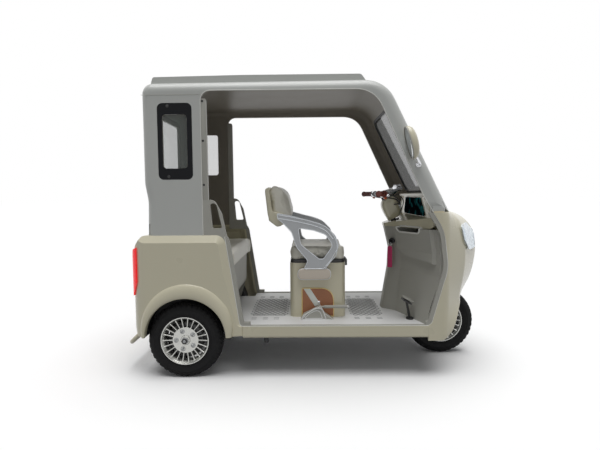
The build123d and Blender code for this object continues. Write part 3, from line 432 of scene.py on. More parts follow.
def turned_mesh(bm, start, end, profile, steps=24):
    """Surface turned about the line from start to end, from rows of millimetres along it and radius."""
    ahead = (end - start).normalized()
    side = ahead.orthogonal().normalized()
    up = ahead.cross(side)
    skin(bm, [[start + ahead * along * MM + (side * cos(a) + up * sin(a)) * radius * MM
               for a in turns(steps)] for along, radius in profile])


def turned(name, start, end, profile, key, body="chassis", steps=24, angle=35.0):
    """Piece that turned_mesh draws."""
    bm = bmesh.new()
    turned_mesh(bm, start, end, profile, steps)
    return placed(name, bm, key, body, angle)


def blocked(bm, centre, size, bevel, turn=None):
    """Block with soft edges; centre in frame metres, size and bevel in millimetres."""
    verts = bmesh.ops.create_cube(bm, size=1.0)["verts"]
    for vert in verts:
        vert.co = Vector((vert.co.x * size[0], vert.co.y * size[1], vert.co.z * size[2])) * MM
        if turn:
            vert.co = turn @ vert.co
        vert.co += centre
    edges = list({e for v in verts for e in v.link_edges})
    bmesh.ops.bevel(bm, geom=edges, offset=bevel * MM, segments=2, affect="EDGES", profile=0.5)


def bead(name, outline, radius, key):
    """Round bead that follows a closed outline of points."""
    sides = 8
    count = len(outline)
    middle = sum(outline, Vector()) / count
    flat = Vector()
    for index, point in enumerate(outline):
        flat += (point - middle).cross(outline[(index + 1) % count] - middle)
    flat.normalize()
    rings = []
    for index, point in enumerate(outline):
        ahead = (outline[(index + 1) % count] - outline[index - 1]).normalized()
        side = ahead.cross(flat).normalized()
        up = side.cross(ahead)
        rings.append([point + (side * cos(a) + up * sin(a)) * radius * MM for a in turns(sides)])
    return skinned(name, rings, key, ends="join")


trees = {}


def on_node(node, start, direction):
    """Where a line from start first meets a solid, or None."""
    if node not in trees:
        mesh = nodes[node].data
        trees[node] = BVHTree.FromPolygons([v.co for v in mesh.vertices], [p.vertices for p in mesh.polygons])
    return trees[node].ray_cast(start, direction)[0]


# Camera, lights and floor

def build_camera():
    place = Vector((-0.0110, -2.9332, 1.0437))
    yaw, pitch, roll = -0.0132, 0.068, -0.0079
    focal_pixels = 447.7
    image_width = 600
    ahead = Vector((sin(yaw) * cos(pitch), cos(yaw) * cos(pitch), -sin(pitch)))
    right = Vector((cos(yaw), -sin(yaw), 0))
    up = right.cross(ahead)
    rolled_right = right * cos(roll) + up * sin(roll)
    rolled_up = up * cos(roll) - right * sin(roll)
    camera = in_scene("camera", bpy.data.cameras.new("camera"))
    camera.data.sensor_width = 36.0
    camera.data.lens = focal_pixels * camera.data.sensor_width / image_width
    camera.matrix_world = Matrix((rolled_right, rolled_up, -ahead)).transposed().to_4x4()
    camera.location = place
    bpy.context.scene.camera = camera


def build_sun(name, tilt, turn, softness, power):
    """Sun at a tilt in degrees from overhead, with a turn in radians and a softness in degrees."""
    data = bpy.data.lights.new(name, "SUN")
    data.energy = power
    data.angle = radians(softness)
    lamp = in_scene(name, data)
    lean = radians(tilt)
    shines = Vector((sin(turn) * sin(lean), cos(turn) * sin(lean), -cos(lean)))
    lamp.rotation_euler = shines.to_track_quat("-Z", "Y").to_euler()


def seen_rays(tree):
    """One for rays that the camera sees directly, in a reflection or through glass."""
    path = tree.nodes.new("ShaderNodeLightPath")
    total = path.outputs["Is Camera Ray"]
    for name in ("Is Glossy Ray", "Is Transmission Ray"):
        join = tree.nodes.new("ShaderNodeMath")
        join.operation = "MAXIMUM"
        tree.links.new(total, join.inputs[0])
        tree.links.new(path.outputs[name], join.inputs[1])
        total = join.outputs[0]
    return total


def build_world():
    """White where it is seen, and a faint cool light where it lights."""
    world = bpy.data.worlds.new("studio")
    bpy.context.scene.world = world
    world.use_nodes = True
    tree = world.node_tree
    background = tree.nodes["Background"]
    background.inputs["Color"].default_value = (0.95, 0.97, 1.0, 1.0)
    background.inputs["Strength"].default_value = 0.18
    seen = tree.nodes.new("ShaderNodeBackground")
    seen.inputs["Color"].default_value = (1.0, 1.0, 1.0, 1.0)
    mix = tree.nodes.new("ShaderNodeMixShader")
    tree.links.new(seen_rays(tree), mix.inputs[0])
    tree.links.new(background.outputs[0], mix.inputs[1])
    tree.links.new(seen.outputs[0], mix.inputs[2])
    tree.links.new(mix.outputs[0], tree.nodes["World Output"].inputs[0])


def build_floor():
    """White floor where it is seen, and a grey one for the light that it throws back."""
    half_size = 60.0
    lighting_tone = 0.34
    bm = bmesh.new()
    bmesh.ops.create_grid(bm, x_segments=8, y_segments=8, size=half_size)
    floor = to_object("floor", bm)
    material = bpy.data.materials.new("pale_floor")
    material.use_nodes = True
    tree = material.node_tree
    shader = tree.nodes["Principled BSDF"]
    shader.inputs["Roughness"].default_value = 0.9
    shader.inputs["Specular IOR Level"].default_value = 0.0
    tone = tree.nodes.new("ShaderNodeMix")
    tone.data_type = "RGBA"
    tone.inputs[6].default_value = (*[lighting_tone] * 3, 1.0)
    tone.inputs[7].default_value = (1.0, 1.0, 1.0, 1.0)
    tree.links.new(seen_rays(tree), tone.inputs["Factor"])
    tree.links.new(tone.outputs[2], shader.inputs["Base Color"])
    floor.data.materials.append(material)


build_camera()
build_sun("sky", tilt=6.0, turn=-0.25, softness=54.0, power=2.6)
build_sun("side", tilt=62.0, turn=-0.6, softness=40.0, power=0.08)
build_world()
build_floor()
bpy.context.scene.view_settings.view_transform = "Standard"


# Finishes on the CAD nodes that stay visible

slot_of = {row["node"]: row["material_slot"] for row in frame["record"]["subparts"]}
own_finish = {"deck": "deck_grey", "windscreen": "screen_glass", "roof": "inward_toned_shell",
              "rear_cabin": "inward_toned_shell", "window_frames": "frame_black"}
for node_name, node_object in nodes.items():
    node_object.data.materials.clear()
    node_object.data.materials.append(materials[own_finish.get(node_name, slot_of[node_name])])


# Wheels

# Name, place, outer side and body.
wheels = [("rear_left", 0, 1, "rear_wheel_left"), ("rear_right", 0, -1, "rear_wheel_right"),
          ("front", wheelbase / MM, -1, "front_wheel")]
rim_steps = 88
spokes = 22
wheel_bolts = 5
bolt_circle = 53.5
first_bolt_angle = 109
valve_angle = 250
lugs = 40
steps_per_lug = 6
half_lug = steps_per_lug // 2
lug_gap, crown_cut = 4.5, 2.2
shoulder_rows = range(12, 16)
crown_rows = (18, 19)

# Half of the tyre's section from bead to crown: radius and offset, with sidewall rings and tread grooves.
tyre_half = [
    (124, 36), (130, 42), (138, 44), (142, 43.5), (150, 45.5), (152, 47), (154, 45.9), (166, 48.4),
    (176, 49.2), (178, 50.2), (180, 49.1), (192, 47), (200, 43.5), (206, 38), (210, 31.5), (211.5, 24.5),
    (205.5, 23.5), (205.5, 19.5), (213.2, 18.5), (214.4, 9.5), (208, 8.5), (208, 4.5), (215, 3.5)]
barrel = [(137.5, 50), (138.5, 48), (138, 44), (131, 42), (126.5, 36), (121, 20), (117, -20), (126.5, -36),
          (130, -42), (137, -43), (137, -49), (134, -49), (123, -40), (113.5, -20), (116.5, 20), (121, 36),
          (129, 44), (131, 48), (132.5, 50)]
dish = [(28, 30), (45, 30.3), (62, 31), (70, 32), (73, 32.6), (74.5, 31.5), (74.5, 24), (70, 22), (40, 21), (28, 21)]
hub = [(0.01, 46), (15, 46), (18, 45), (20, 37), (25, 35), (28, 31), (28, -46), (12.6, -46), (12.6, -40), (0.01, -40)]
drum = [(29, 14), (96, 12), (104, 6), (104, -22), (98, -26), (29, -26)]
bolt_cup = [(13.5, 29.8), (13.5, 32.4), (12.2, 33.4), (10.4, 33.2), (9.6, 30)]
bolt_head = [(0.01, 38.5), (4.4, 38.5), (6.8, 36.6), (7.4, 29.8)]
# Spoke sections: radius on the wheel, half width, front and back.
spoke_rows = [(71, 3, 32, 23), (90, 3, 33.5, 22), (112, 3.3, 37.5, 20), (129.5, 4, 43.5, 18)]
# Steps of the hub's cap: depth, radius and number of sides.
hub_caps = [(60, 8.5, 24), (55, 14.5, 6), (49, 19.5, 28)]


def wheel_centre(node, x):
    low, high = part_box(node)
    return Vector((axle_x + x * MM, (low.y + high.y) / 2, (low.z + high.z) / 2))


def outward(angle):
    """Direction from the axle in the wheel's plane."""
    return Vector((cos(angle), 0, sin(angle)))


def faced(profile, side):
    """The profile with its offsets towards the wheel's outer side."""
    return [(radius, offset * side) for radius, offset in profile]


def build_tyre(name, x, body):
    profile = tyre_half + [(r, -y) for r, y in reversed(tyre_half)]
    count = len(profile)

    def wave(step, index):
        """Lug gaps in the shoulders, half a lug apart from side to side, and cuts in the crown."""
        row = min(index, count - 1 - index)
        place = (step + (half_lug if index > count / 2 else 0)) % steps_per_lug
        if row in shoulder_rows and place in (0, 1):
            return -lug_gap
        if row in crown_rows and place == half_lug:
            return -crown_cut
        return 0.0

    bm = bmesh.new()
    lathe_mesh(bm, profile, lugs * steps_per_lug, wheel_centre(f"{name}_tyre", x), wave=wave)
    tyre = placed(f"{name}_road_tyre", bm, "tyre", body, angle=28)
    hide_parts(f"{name}_tyre")


def spoke_rings(angle, centre, side):
    out = outward(angle)
    across = Vector((-out.z, 0, out.x))
    rings = []
    for radius, half, front, back in spoke_rows:
        ring = [(half, back), (half, front - 1.5), (half - 1.2, front), (-half + 1.2, front), (-half, front - 1.5),
                (-half, back)]
        rings.append([centre + (out * radius + across * w + Vector((0, d * side, 0))) * MM for w, d in ring])
    return rings


def build_rim(name, x, side, body):
    centre = wheel_centre(f"{name}_rim", x)
    bm = bmesh.new()
    lathe_mesh(bm, faced(barrel, side), rim_steps, centre)
    lathe_mesh(bm, faced(dish, side), rim_steps, centre)
    lathe_mesh(bm, faced(hub, side), rim_steps, centre, closed=False)
    for angle in turns(spokes):
        skin(bm, spoke_rings(angle, centre, side))
    rim = placed(f"{name}_fin_rim", bm, "wheel_alloy", body, angle=30)
    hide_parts(f"{name}_rim")

    bm = bmesh.new()
    lathe_mesh(bm, faced(drum, side), 64, centre)
    placed(f"{name}_brake_drum", bm, "black_steel", body)

    bm = bmesh.new()
    for bolt in range(wheel_bolts):
        angle = radians(first_bolt_angle + 360 / wheel_bolts * bolt)
        spot = centre + outward(angle) * bolt_circle * MM
        lathe_mesh(bm, faced(bolt_cup, side), 24, spot)
        lathe_mesh(bm, faced(bolt_head, side), 6, spot, closed=False)
    for depth, radius, sides in hub_caps:
        cap = [(0.01, depth), (radius * 0.84, depth), (radius, depth - 2), (radius, 44)]
        lathe_mesh(bm, faced(cap, side), sides, centre, closed=False)
    placed(f"{name}_wheel_bolts", bm, "cast_aluminium", body, angle=25)

    stem_out = outward(radians(valve_angle))
    foot = centre + (stem_out * 112 + Vector((0, 30 * side, 0))) * MM
    tip = centre + (stem_out * 100 + Vector((0, 44 * side, 0))) * MM
    tube(f"{name}_valve", [foot, foot.lerp(tip, 0.6), tip], 3.2, "black_plastic", body, 10)


for name, x, side, body in wheels:
    build_tyre(name, x, body)
    build_rim(name, x, side, body)


# Handlebar: grips, lever brackets, levers, switches, clamp and cables

bar_tip = at(1117.8, 330, 1043)
bar_knee = at(1180.6, 204.6, 1043)
bar_out = (bar_tip - bar_knee).normalized()
bar_ahead = UP.cross(bar_out).normalized()
grip_ribs = 17
rib_pitch = 5.6


def bar_place(side, along, ahead=0, up=0):
    """Place beside the left or right grip: millimetres inward from the tip, to the front and up."""
    point = bar_tip - bar_out * along * MM + Vector((0, 0, up * MM)) - bar_ahead * ahead * MM
    return Vector((point.x, point.y * side, point.z))


def lever_taper(t):
    """Waisted in the middle, with a fuller tip."""
    return 1.0 - 0.35 * sin(pi * t) if t < 0.9 else 1.15


def build_grip(side, word):
    rows = [(0, 6), (1, 15), (4, 18.5), (9, 18.8), (12, 16)]
    for rib in range(grip_ribs):
        start = 14 + rib * rib_pitch
        rows += [(start, 15.2), (start + 1.2, 16.6), (start + 3.6, 16.6), (start + 4.8, 15.2)]
    rows += [(111, 16), (113, 21), (118, 21.5), (121, 20), (121.5, 12)]
    grip = turned(f"{word}_grip", bar_place(side, -6), bar_place(side, 100), rows, "grip_rubber", "steering", 28,
                  angle=50)
    turned(f"{word}_switch_pod", bar_place(side, 118), bar_place(side, 150),
           [(0, 12), (1, 20), (3, 22), (24, 22), (28, 20), (29, 12)], "chrome", "steering")
    bm = bmesh.new()
    for place in (0, 1):
        along = 126 + place * 12
        turned_mesh(bm, bar_place(side, along, -21, 6 - place * 7), bar_place(side, along, -32, 9 - place * 8),
                    [(0, 5.5), (3, 5.5), (4, 4.4), (4.2, 1)], 14)
    placed(f"{word}_switch_buttons", bm, "black_plastic", "steering")
    turned(f"{word}_lever_bracket", bar_place(side, 150), bar_place(side, 172),
           [(0, 12), (0.5, 17), (19, 17), (20, 12)], "cast_aluminium", "steering", 20)
    lever = [(160, 18, 0), (150, 34, 0), (120, 46, -1), (70, 44, -3), (24, 46, -5), (2, 54, -6)]
    tube(f"{word}_brake_lever", smooth_path([bar_place(side, *spot) for spot in lever]), 6, "chrome", "steering",
         12, squash=0.6, taper=lever_taper)
    turned(f"{word}_signal_lens", bar_place(side, 112, 4, -20), bar_place(side, 128, 4, -24),
           [(0, 4), (1, 9), (6, 11), (14, 9), (16, 3)], "amber_lens", "steering", 18)
    return grip


def build_cables(side, word):
    brake = [bar_place(side, 166, 16, -6), bar_place(side, 180, 40, -14), at(1272, side * 120, 1040),
             at(1318, side * 66, 1000), at(1312, side * 30, 940), at(1290, side * 14, 905)]
    tube(f"{word}_brake_cable", smooth_path(brake), 3, "black_plastic", "steering")
    switch = [bar_place(side, 140, 8, -22), at(1250, side * 150, 1010), at(1290, side * 84, 985),
              at(1262, side * 50, 975)]
    tube(f"{word}_switch_cable", smooth_path(switch), 3.4, "black_plastic", "steering")


def build_clamp():
    bm = bmesh.new()
    blocked(bm, at(1292, 0, 1076), (46, 78, 26), 3)
    for y in (-24, 24):
        blocked(bm, at(1292, y, 1092), (40, 22, 10), 3)
    placed("bar_clamp", bm, "chrome", "steering")
    bm = bmesh.new()
    for x in (1279, 1305):
        for y in (-24, 24):
            turned_mesh(bm, at(x, y, 1094), at(x, y, 1110), [(0, 5.5), (7, 5.5), (8, 4.5), (8, 2.6), (4, 2.4)], 12)
    placed("bar_clamp_bolts", bm, "chrome", "steering")


grips = both(build_grip)
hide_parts("grips")
build_clamp()
both(build_cables)


# Mirrors on the pillars

mirror_lean = radians(14)
mirror_middle = Vector((1251.3, 508, 1314.2))
mirror_ahead = Vector((cos(mirror_lean), 0, sin(mirror_lean)))
mirror_up = Vector((-sin(mirror_lean), 0, cos(mirror_lean)))
mirror_half_height = 90
mirror_half_width = 58


def mirror_rings(side, rows):
    """Oval rings of share of the half sizes and millimetres to the front."""
    steps = 40
    made = []
    for share, front in rows:
        ring = []
        for angle in turns(steps):
            spot = (mirror_middle + mirror_ahead * front + mirror_up * mirror_half_height * share * sin(angle)
                    + Vector((0, mirror_half_width * share * cos(angle), 0)))
            ring.append(at(spot.x, side * spot.y, spot.z))
        made.append(ring)
    return made


def build_mirror(side, word):
    dome = [(0.97, 1), (1, 4), (1.005, 10), (0.97, 20), (0.88, 30), (0.72, 38), (0.5, 43),
            (0.25, 45.5), (0.04, 46)]
    rim = [(0.9, 3), (0.985, 3), (1.02, 0), (1.02, -3), (0.99, -5), (0.9, -3)]
    glass = [(0.92, 2), (0.92, -1.5), (0.4, -2.4)]
    case = skinned(f"{word}_mirror_case", mirror_rings(side, dome), "cream_panel", angle=50)
    skinned(f"{word}_mirror_rim", mirror_rings(side, rim), "grey_trim", angle=50, ends="open")
    skinned(f"{word}_mirror_glass", mirror_rings(side, glass), "mirror_glass")
    start = at(1317.1, side * 445, 1205)
    knee = at(1317.1, side * 479, 1205)
    top = at(1266, side * 500, 1262)
    bm = bmesh.new()
    tube_mesh(bm, smooth_path([start, knee, at(1296, side * 492, 1236), top]), 6.5, 12)
    turned_mesh(bm, start, knee, [(0, 15), (5, 15), (7, 12), (14, 10), (15, 6)])
    placed(f"{word}_mirror_stalk", bm, "chrome")
    return case


mirror_cases = both(build_mirror)
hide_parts("mirrors")


# Deck pattern: raised hexagon outlines in two fields, with dashes beside them

def build_deck_pattern():
    deck_z = 300
    pitch = 34
    row_share = 0.866
    rise, sunk = 1.6, -0.4
    outer = pitch * 0.54
    first_dash_row, dash_row_step = 7.9, 0.8
    bm = bmesh.new()

    def hexagon(x, y):
        rings = []
        for radius, z in ((outer, sunk), (outer - 0.8, rise), (outer - 3.6, rise), (outer - 4.4, sunk)):
            rings.append([at(x + radius * sin(a), y + radius * cos(a), deck_z + z) for a in turns(6)])
        skin(bm, rings, "open")

    for start, end in ((345, 575), (965, 1150)):
        columns = int((end - start) / pitch)
        for row in range(-7, 8):
            for column in range(columns + (row + 1) % 2):
                x = start + (column + 0.5 * (1 + row % 2)) * pitch
                hexagon(x, row * pitch * row_share)
        for side in (-1, 1):
            for row in range(2):
                y = side * (first_dash_row + row * dash_row_step) * pitch
                for column in range(0, columns, 2):
                    blocked(bm, at(start + (column + 1) * pitch, y, deck_z + 0.4), (pitch * 0.9, 4, 2.2), 0.5)
    placed("deck_pattern", bm, "deck_print", angle=20)


build_deck_pattern()


# Beads on the armrests, bright as a painted highlight along their ridges, and the patch on the seat box

arm_crest = [(530, 932), (628, 914), (742, 888), (816, 856), (860, 806), (880, 748), (872, 690), (838, 650),
             (806, 606)]
arm_waist = [(x - 4, z - 20) for x, z in arm_crest[:5]]


def build_armrest_highlight_beads(side, word):
    face = 291.0
    # The beads are raised ridges; their bright colour is a painted highlight along the crest and the waist.
    for name, route in (("crest", arm_crest), ("waist", arm_waist)):
        points = smooth_path([at(x, side * face, z - 7) for x, z in route])
        tube(f"{word}_armrest_{name}_bead", points, 3, "bright_edge")


def build_patch():
    x0, x1, z0, z1 = 669, 860, 304, 477.0
    face = -250.0
    outline = arc_corners([(x0, z0), (x1, z0), (x1, z1), (x0, z1)], [4, 4, 118, 12], 12)
    side_plate("seat_box_patch", outline, face, face - 1.2, "brown_patch")
    bead("seat_box_patch_piping", [at(x, face - 1.4, z) for x, z in outline], 3, "gold_edge")
    band = [(678, 474), (719, 474), (781, 377), (747, 365)]
    side_plate("seat_box_band", band, face - 1, face - 2.4, "pale_band", bevel=0.5)
    turned("seat_box_stud", at(770, face - 1, 392), at(770, face - 5, 392),
           [(0, 7), (2, 7), (3.4, 5.2), (3.8, 1)], "chrome", steps=20)


both(build_armrest_highlight_beads)
build_patch()


# Parking brake trim, pedal pad, column plug, lock and key tag

def build_parking_brake_trim():
    face = -315.0
    house = arc_corners([(664, 302), (700, 340), (752, 372), (790, 366), (812, 302)], [4, 30, 40, 30, 4])
    bead("parking_brake_rim", [at(x, face, z) for x, z in house], 3.2, "deck_grey")
    panel = arc_corners([(684, 308), (712, 336), (752, 356), (776, 350), (790, 308)], [4, 24, 30, 22, 4])
    bead("parking_brake_panel_rim", [at(x, face + 0.4, z) for x, z in panel], 2, "deck_grey")
    turned("parking_brake_sleeve", at(800, -289, 371.6), at(945, -289, 372.6),
           [(0, 6), (2, 9.5), (60, 9), (120, 10.5), (134, 10.8), (140, 8)], "grey_trim", steps=20)
    turned("parking_brake_button", at(940, -289, 372.4), at(952, -289, 372.6), [(0, 5), (6, 5), (7, 3)], "chrome",
           steps=16)


def build_pedal_pad():
    turn = Matrix.Rotation(radians(28), 3, "Y")
    middle = at(1296.8, -300, 414.7)
    ribs = 6
    rib_step = 9
    bm = bmesh.new()
    blocked(bm, middle + turn @ Vector((0, 0, 0.006)), (60, 66, 7), 2, turn)
    for rib in range(ribs):
        shift = (rib - (ribs - 1) / 2) * rib_step * MM
        blocked(bm, middle + turn @ Vector((shift, 0, 0.0105)), (4, 56, 4), 1, turn)
    placed("brake_pedal_pad", bm, "grey_trim")


def build_column_plug():
    plug = on_node("column_cover", at(1259, -200, 999), Vector((0, 1, 0))) + Vector((0, 0.0006, 0))
    turned("column_plug", plug, plug + Vector((0, -0.003, 0)),
           [(0, 15), (1.6, 15), (2.2, 13.6), (1.2, 12.8), (1.6, 11.8), (1.8, 1)], "cream_panel", "steering", 32)


def build_lock():
    """Ignition lock with its key, and a cloth tag that hangs from the key."""
    place = at(1253.9, -70, 745)
    out = Vector((-cos(radians(40)), -sin(radians(40)), 0))
    across = Vector((out.y, -out.x, 0))
    lock = turned("lock_barrel", place - out * 0.014, place + out * 0.014,
                  [(0, 15), (26, 15), (27.5, 14), (28, 11.5), (25.5, 11), (25.5, 2)], "black_plastic", steps=36)
    turned("lock_ring", place + out * 0.0115, place + out * 0.02,
           [(0, 15.2), (2, 19), (3.6, 19), (4.6, 16.5), (4.6, 13)], "black_plastic", steps=36)
    key = place + out * 0.026
    turn = Matrix((out, across, UP)).transposed()
    bm = bmesh.new()
    blocked(bm, key + out * 0.002, (24, 3, 8), 0.8, turn)
    blocked(bm, key + out * 0.006 + Vector((0, 0, -0.003)), (9, 6, 24), 2.4, turn)
    placed("lock_key", bm, "black_plastic")
    head = key + out * 0.006 + Vector((0, 0, -0.012))
    bead("key_ring", [head + (across * cos(a) + UP * (sin(a) - 0.8)) * 0.011 for a in turns(28)], 1.3,
         "chrome")
    facing = Vector((-0.5, -0.866, 0))
    along = Vector((facing.y, -facing.x, 0))
    thick = 1.6
    # Millimetres below the key's head, half the width and sway.
    tag_rows = [(20, 5, 0), (24, 12, 0), (29, 15, 0.2), (66, 15.2, 1.2), (104, 15, 0.4), (140, 15.2, -1),
                (156, 15, -1.2), (157, 14, -1.2)]
    rings = []
    for drop, half, sway in tag_rows:
        middle = head + Vector((0, 0, -drop * MM)) + facing * sway * MM
        corners = ((-half, -thick), (half, -thick), (half, thick), (-half, thick))
        rings.append([middle + (along * w + facing * d) * MM for w, d in corners])
    skinned("key_tag", rings, "tag_cloth", angle=40)
    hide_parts("ignition_key")


build_parking_brake_trim()
build_pedal_pad()
build_column_plug()
build_lock()


# Screws of the deck and of the doorway trim

def screw_mesh(bm, place, normal, radius=5):
    turned_mesh(bm, place - normal * 0.001, place + normal,
                [(0, radius), (2, radius), (3, radius * 0.7), (2.2, radius * 0.4), (2.2, 0.3)], 14)


def build_screws():
    deck_places = (338, 520, 700, 880, 1060, 1240)
    trim_heights = (1500, 1390, 1280, 1170, 1060)
    bm = bmesh.new()
    for side in (-1, 1):
        for x in deck_places:
            screw_mesh(bm, at(x, side * 430, 301), UP, 4)
        for z in trim_heights:
            place = on_node("door_trims", at(155, side * 900, z), Vector((0, -side, 0)))
            if place is not None:
                screw_mesh(bm, place, Vector((0, side, 0)))
    placed("panel_screws", bm, "black_plastic")


build_screws()


# Flares round the rear arches

def build_flare(side, word):
    """Soft roll between the arch's edge and the flare's outer edge, down to the body's lower edge."""
    foot = 246.0
    # Middle and radius of the two edges, then the section as share of the way between them and place across.
    edges = [(11.9, 237.9, 228), (19.9, 291, 260)]
    section = [(0, 446), (0, 474), (0.02, 479.5), (0.08, 483.4), (0.18, 485.4), (0.32, 486), (0.46, 485.4),
               (0.6, 483.6), (0.74, 480.4), (0.86, 476), (0.95, 471.2), (1, 467), (0.9, 452), (0.06, 446)]
    steps = 72
    rings = []
    for step in range(steps + 1):
        spots = []
        for x, z, radius in edges:
            low = asin((foot - z) / radius)
            angle = low + (pi - 2 * low) * step / steps
            spots.append(Vector((x + radius * cos(angle), 0, z + radius * sin(angle))))
        ring = []
        for share, y in section:
            spot = spots[0].lerp(spots[1], share)
            ring.append(at(spot.x, side * y, spot.z))
        rings.append(ring)
    return skinned(f"{word}_flare_roll", rings, "cream_panel", angle=50)


flare_rolls = both(build_flare)
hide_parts("arch_flares")


# Edge lines of the doorway, rear posts, seam and window knobs

# X, Z and corner radius round the doorway, from the rear post to the sill's rear end.
door_line = [(120, 822, 0), (120, 1617, 62), (1076, 1617, 165), (1347, 1033, 400), (1466, 835, 250),
             (1490, 625, 250), (1398, 300, 40), (318, 300, 24), (240, 812, 0)]
flank = 441
post_screw_heights = (857, 1101, 1344, 1560)
window_knob_heights = (1533.5, 1147.5)


def build_door_edge(side, word):
    route = arc_corners([(x, z) for x, z, _ in door_line], [radius for _, _, radius in door_line], 10)
    tube(f"{word}_door_edge", [at(x, side * 444.6, z) for x, z in route], 2.6, "pale_edge")
    post = arc_corners([(117, 824), (156, 824), (152, 1575), (117, 1575)], [2, 6, 14, 2], 5)
    side_plate(f"{word}_rear_post", post, side * 428, side * flank, "grey_trim", bevel=2)
    post_edge = [at(154.6, side * flank, 830), at(151.6, side * flank, 1562)]
    tube(f"{word}_rear_post_edge", post_edge, 1.8, "pale_edge")
    bm = bmesh.new()
    for z in post_screw_heights:
        screw_mesh(bm, at(130, side * flank, z), Vector((0, side, 0)), 6.5)
    placed(f"{word}_post_screws", bm, "black_plastic")
    seam = [at(x, side * 445.2, 1595) for x in (-205, 0, 119)]
    tube(f"{word}_roof_seam", seam, 1.3, "grey_trim", sides=6)
    for z in window_knob_heights:
        turned(f"{word}_window_knob_{int(z)}", at(-62, side * 444, z), at(-62, side * 452, z),
               [(0, 9), (4, 9), (6.4, 7.2), (7, 3)], "black_plastic")


both(build_door_edge)


# Beads on the sharp edges of solids

def edge_chains(node, keep):
    """Routes along a solid's sharp edges whose two ends pass a test."""
    sharp = radians(35)
    bm = bmesh.new()
    bm.from_mesh(nodes[node].data)
    bmesh.ops.remove_doubles(bm, verts=bm.verts, dist=1e-5)
    links = {}
    for edge in bm.edges:
        if len(edge.link_faces) != 2 or edge.calc_face_angle(0) < sharp:
            continue
        if keep(edge.verts[0].co) and keep(edge.verts[1].co):
            for vert, other in (edge.verts, reversed(edge.verts)):
                links.setdefault(vert.index, set()).add(other.index)
    bm.verts.ensure_lookup_table()
    chains = []
    while links:
        ends = [v for v, near in links.items() if len(near) == 1]
        here = ends[0] if ends else next(iter(links))
        route = [here]
        while links.get(here):
            ahead = links[here].pop()
            links[ahead].discard(here)
            for spent in (here, ahead):
                if not links.get(spent):
                    links.pop(spent, None)
            route.append(ahead)
            here = ahead
        links.pop(route[0], None)
        chains.append([bm.verts[v].co.copy() for v in route])
    bm.free()
    return chains


def bead_edges(name, node, keep, radius, key):
    """Tubes along the sharp edges of a solid."""
    least_step = 0.6 * radius * MM
    bm = bmesh.new()
    for chain in edge_chains(node, keep):
        spots = [chain[0]]
        for spot in chain[1:]:
            if (spot - spots[-1]).length > least_step:
                spots.append(spot)
        if len(spots) > 2:
            tube_mesh(bm, spots, radius, 8)
    placed(name, bm, key)


# The armrest rims are bright as a painted highlight along the armrest's edges.
bead_edges("armrest_highlight_rims", "armrests", lambda v: abs(v.y) > 0.2885, 2.4, "bright_edge")
bead_edges("brake_housing_rims", "parking_brake", lambda v: v.y < -0.3125 and v.z < 0.377, 2.2, "pale_edge")
bead_edges("headlamp_rims", "headlamps", lambda v: True, 1.7, "bright_edge")


# Canopy foot, pocket mouths and armrest plates

def build_canopy_foot(side, word):
    """Cover strip where the canopy's foot meets the hood, and a rubber stop under the deck."""
    foot = [(1396, 934), (1470, 934), (1470, 962), (1452, 985), (1396, 990)]
    side_plate(f"{word}_canopy_foot", foot, side * 396, side * flank, "silver_shell", bevel=9, segments=4)
    line = [at(x, side * 443.4, 941) for x in (1398, 1462)]
    tube(f"{word}_canopy_foot_line", line, 1.5, "gold_edge")
    turned(f"{word}_deck_stop", at(463, side * 400, 286), at(463, side * 400, 192),
           [(0, 9), (48, 9), (50, 13), (92, 13), (94, 11)], "black_plastic", steps=20)


def build_mouth_rim(side, word):
    """Rolled lip round the mouth of a pocket, on the shield below and the shelf above."""
    mouth_y, mouth_z = 232, 836
    half_straight = 66
    radius = 27
    shelf_z = 837.5
    ring = []
    for angle in turns(48):
        end_y = half_straight if cos(angle) > 0 else -half_straight
        y = mouth_y + end_y + radius * cos(angle)
        z = mouth_z + radius * sin(angle) * (1.0 if sin(angle) < 0 else 0.35)
        place = on_node("leg_shield" if z < shelf_z else "dash", at(1000, side * y, z), Vector((1, 0, 0)))
        if place is not None:
            ring.append(place)
    bead(f"{word}_mouth_rim", ring, 5, "pale_edge")


def build_arm_plate(side, word):
    """Rounded plate that carries each armrest on the box's flank."""
    outline = arc_corners([(646, 536), (841, 536), (841, 601), (646, 601)], [32, 32, 32, 32], 8)
    plate = side_plate(f"{word}_arm_plate", outline, side * 249, side * 290, "plate_beige", bevel=6,
                       segments=4)
    bead(f"{word}_arm_plate_rim", [at(x, side * 284, z) for x, z in outline], 2.6, "bright_edge")
    return plate


both(build_canopy_foot)
both(build_mouth_rim)
arm_plates = both(build_arm_plate)
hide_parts("armrest_pads")


# Padded pieces

cloth_frames = 20
cloth_pressure = 4.0


def evaluated(obj):
    """The object's mesh becomes what its modifiers make of it."""
    graph = bpy.context.evaluated_depsgraph_get()
    mesh = bpy.data.meshes.new_from_object(obj.evaluated_get(graph))
    obj.modifiers.clear()
    obj.data = mesh


def remeshed(obj, voxel):
    """Modifier that rebuilds a mesh with faces of a size in millimetres."""
    remesh = obj.modifiers.new("remesh", "REMESH")
    remesh.mode = "VOXEL"
    remesh.voxel_size = voxel * MM


def faired(obj, rounds):
    """Modifier that smooths a mesh."""
    fair = obj.modifiers.new("fair", "SMOOTH")
    fair.factor = 0.5
    fair.iterations = rounds


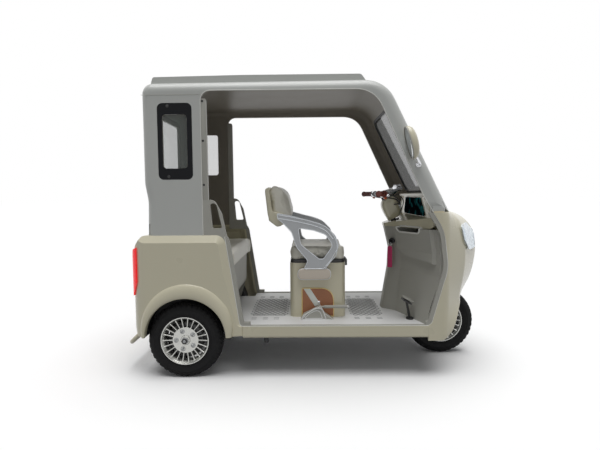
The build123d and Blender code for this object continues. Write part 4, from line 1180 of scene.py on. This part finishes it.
def blown_up(obj):
    """Shape after a cloth simulation under pressure."""
    cloth = obj.modifiers.new("cloth", "CLOTH")
    cloth.settings.use_pressure = True
    cloth.settings.uniform_pressure_force = cloth_pressure
    cloth.settings.effector_weights.gravity = 0.0
    cloth.settings.quality = 4
    cloth.collision_settings.use_collision = False
    for step in range(1, cloth_frames + 1):
        bpy.context.scene.frame_set(step)
    evaluated(obj)
    bpy.context.scene.frame_set(1)


def puffed(name, node, inset, travel, voxel, body, stand=(4.0, 4.0, 5.0)):
    """Cushion blown up from its solid by a cloth simulation, flat where it rests.

    The solid shrinks by the inset, and no point then moves by more than the travel or
    ends further out of the solid's box than the stand. All are in millimetres.
    """
    low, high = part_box(node)
    centre, size = (low + high) / 2, high - low
    mesh = nodes[node].data.copy()
    mesh.materials.clear()
    for vertex in mesh.vertices:
        for axis in range(3):
            vertex.co[axis] = centre[axis] + (vertex.co[axis] - centre[axis]) * (1 - 2 * inset * MM / size[axis])
    obj = in_scene(name, mesh)
    obj.data.materials.append(materials["cream_leather"])
    remeshed(obj, voxel * (1.0))
    evaluated(obj)
    rest = [v.co.copy() for v in obj.data.vertices]
    blown_up(obj)
    for vertex, start in zip(obj.data.vertices, rest):
        move = vertex.co - start
        if move.length > travel * MM:
            move *= travel * MM / move.length
        place = start + move
        for axis in range(3):
            floor = low[axis] - (0.0 if axis == 2 else stand[axis] * MM)
            place[axis] = min(max(place[axis], floor), high[axis] + stand[axis] * MM)
        vertex.co = place
    faired(obj, 4)
    evaluated(obj)
    shade_smooth(obj.data)
    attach(obj, body)
    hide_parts(node)
    return obj


def soften(node, voxel, rounds):
    """Corners of a solid's mesh worn round by modifiers."""
    remeshed(nodes[node], voxel)
    faired(nodes[node], rounds)
    shade_smooth(nodes[node].data)


soften("backrest_shell", 4.0, 24)
puffed("driver_cushion", "seat_cushion", -2.0, 16.0, 5.0, "seat_lid", (7.0, 7.0, 5.0))
puffed("driver_back_pad", "backrest_pad", -3.0, 14.0, 5.0, "chassis", (6.0, 9.0, 6.0))
puffed("passenger_cushion", "bench_cushion", 3.0, 20.0, 8.0, "chassis", (5.0, 4.0, 8.0))
puffed("passenger_back_pad", "bench_back", 6.0, 18.0, 8.0, "chassis")
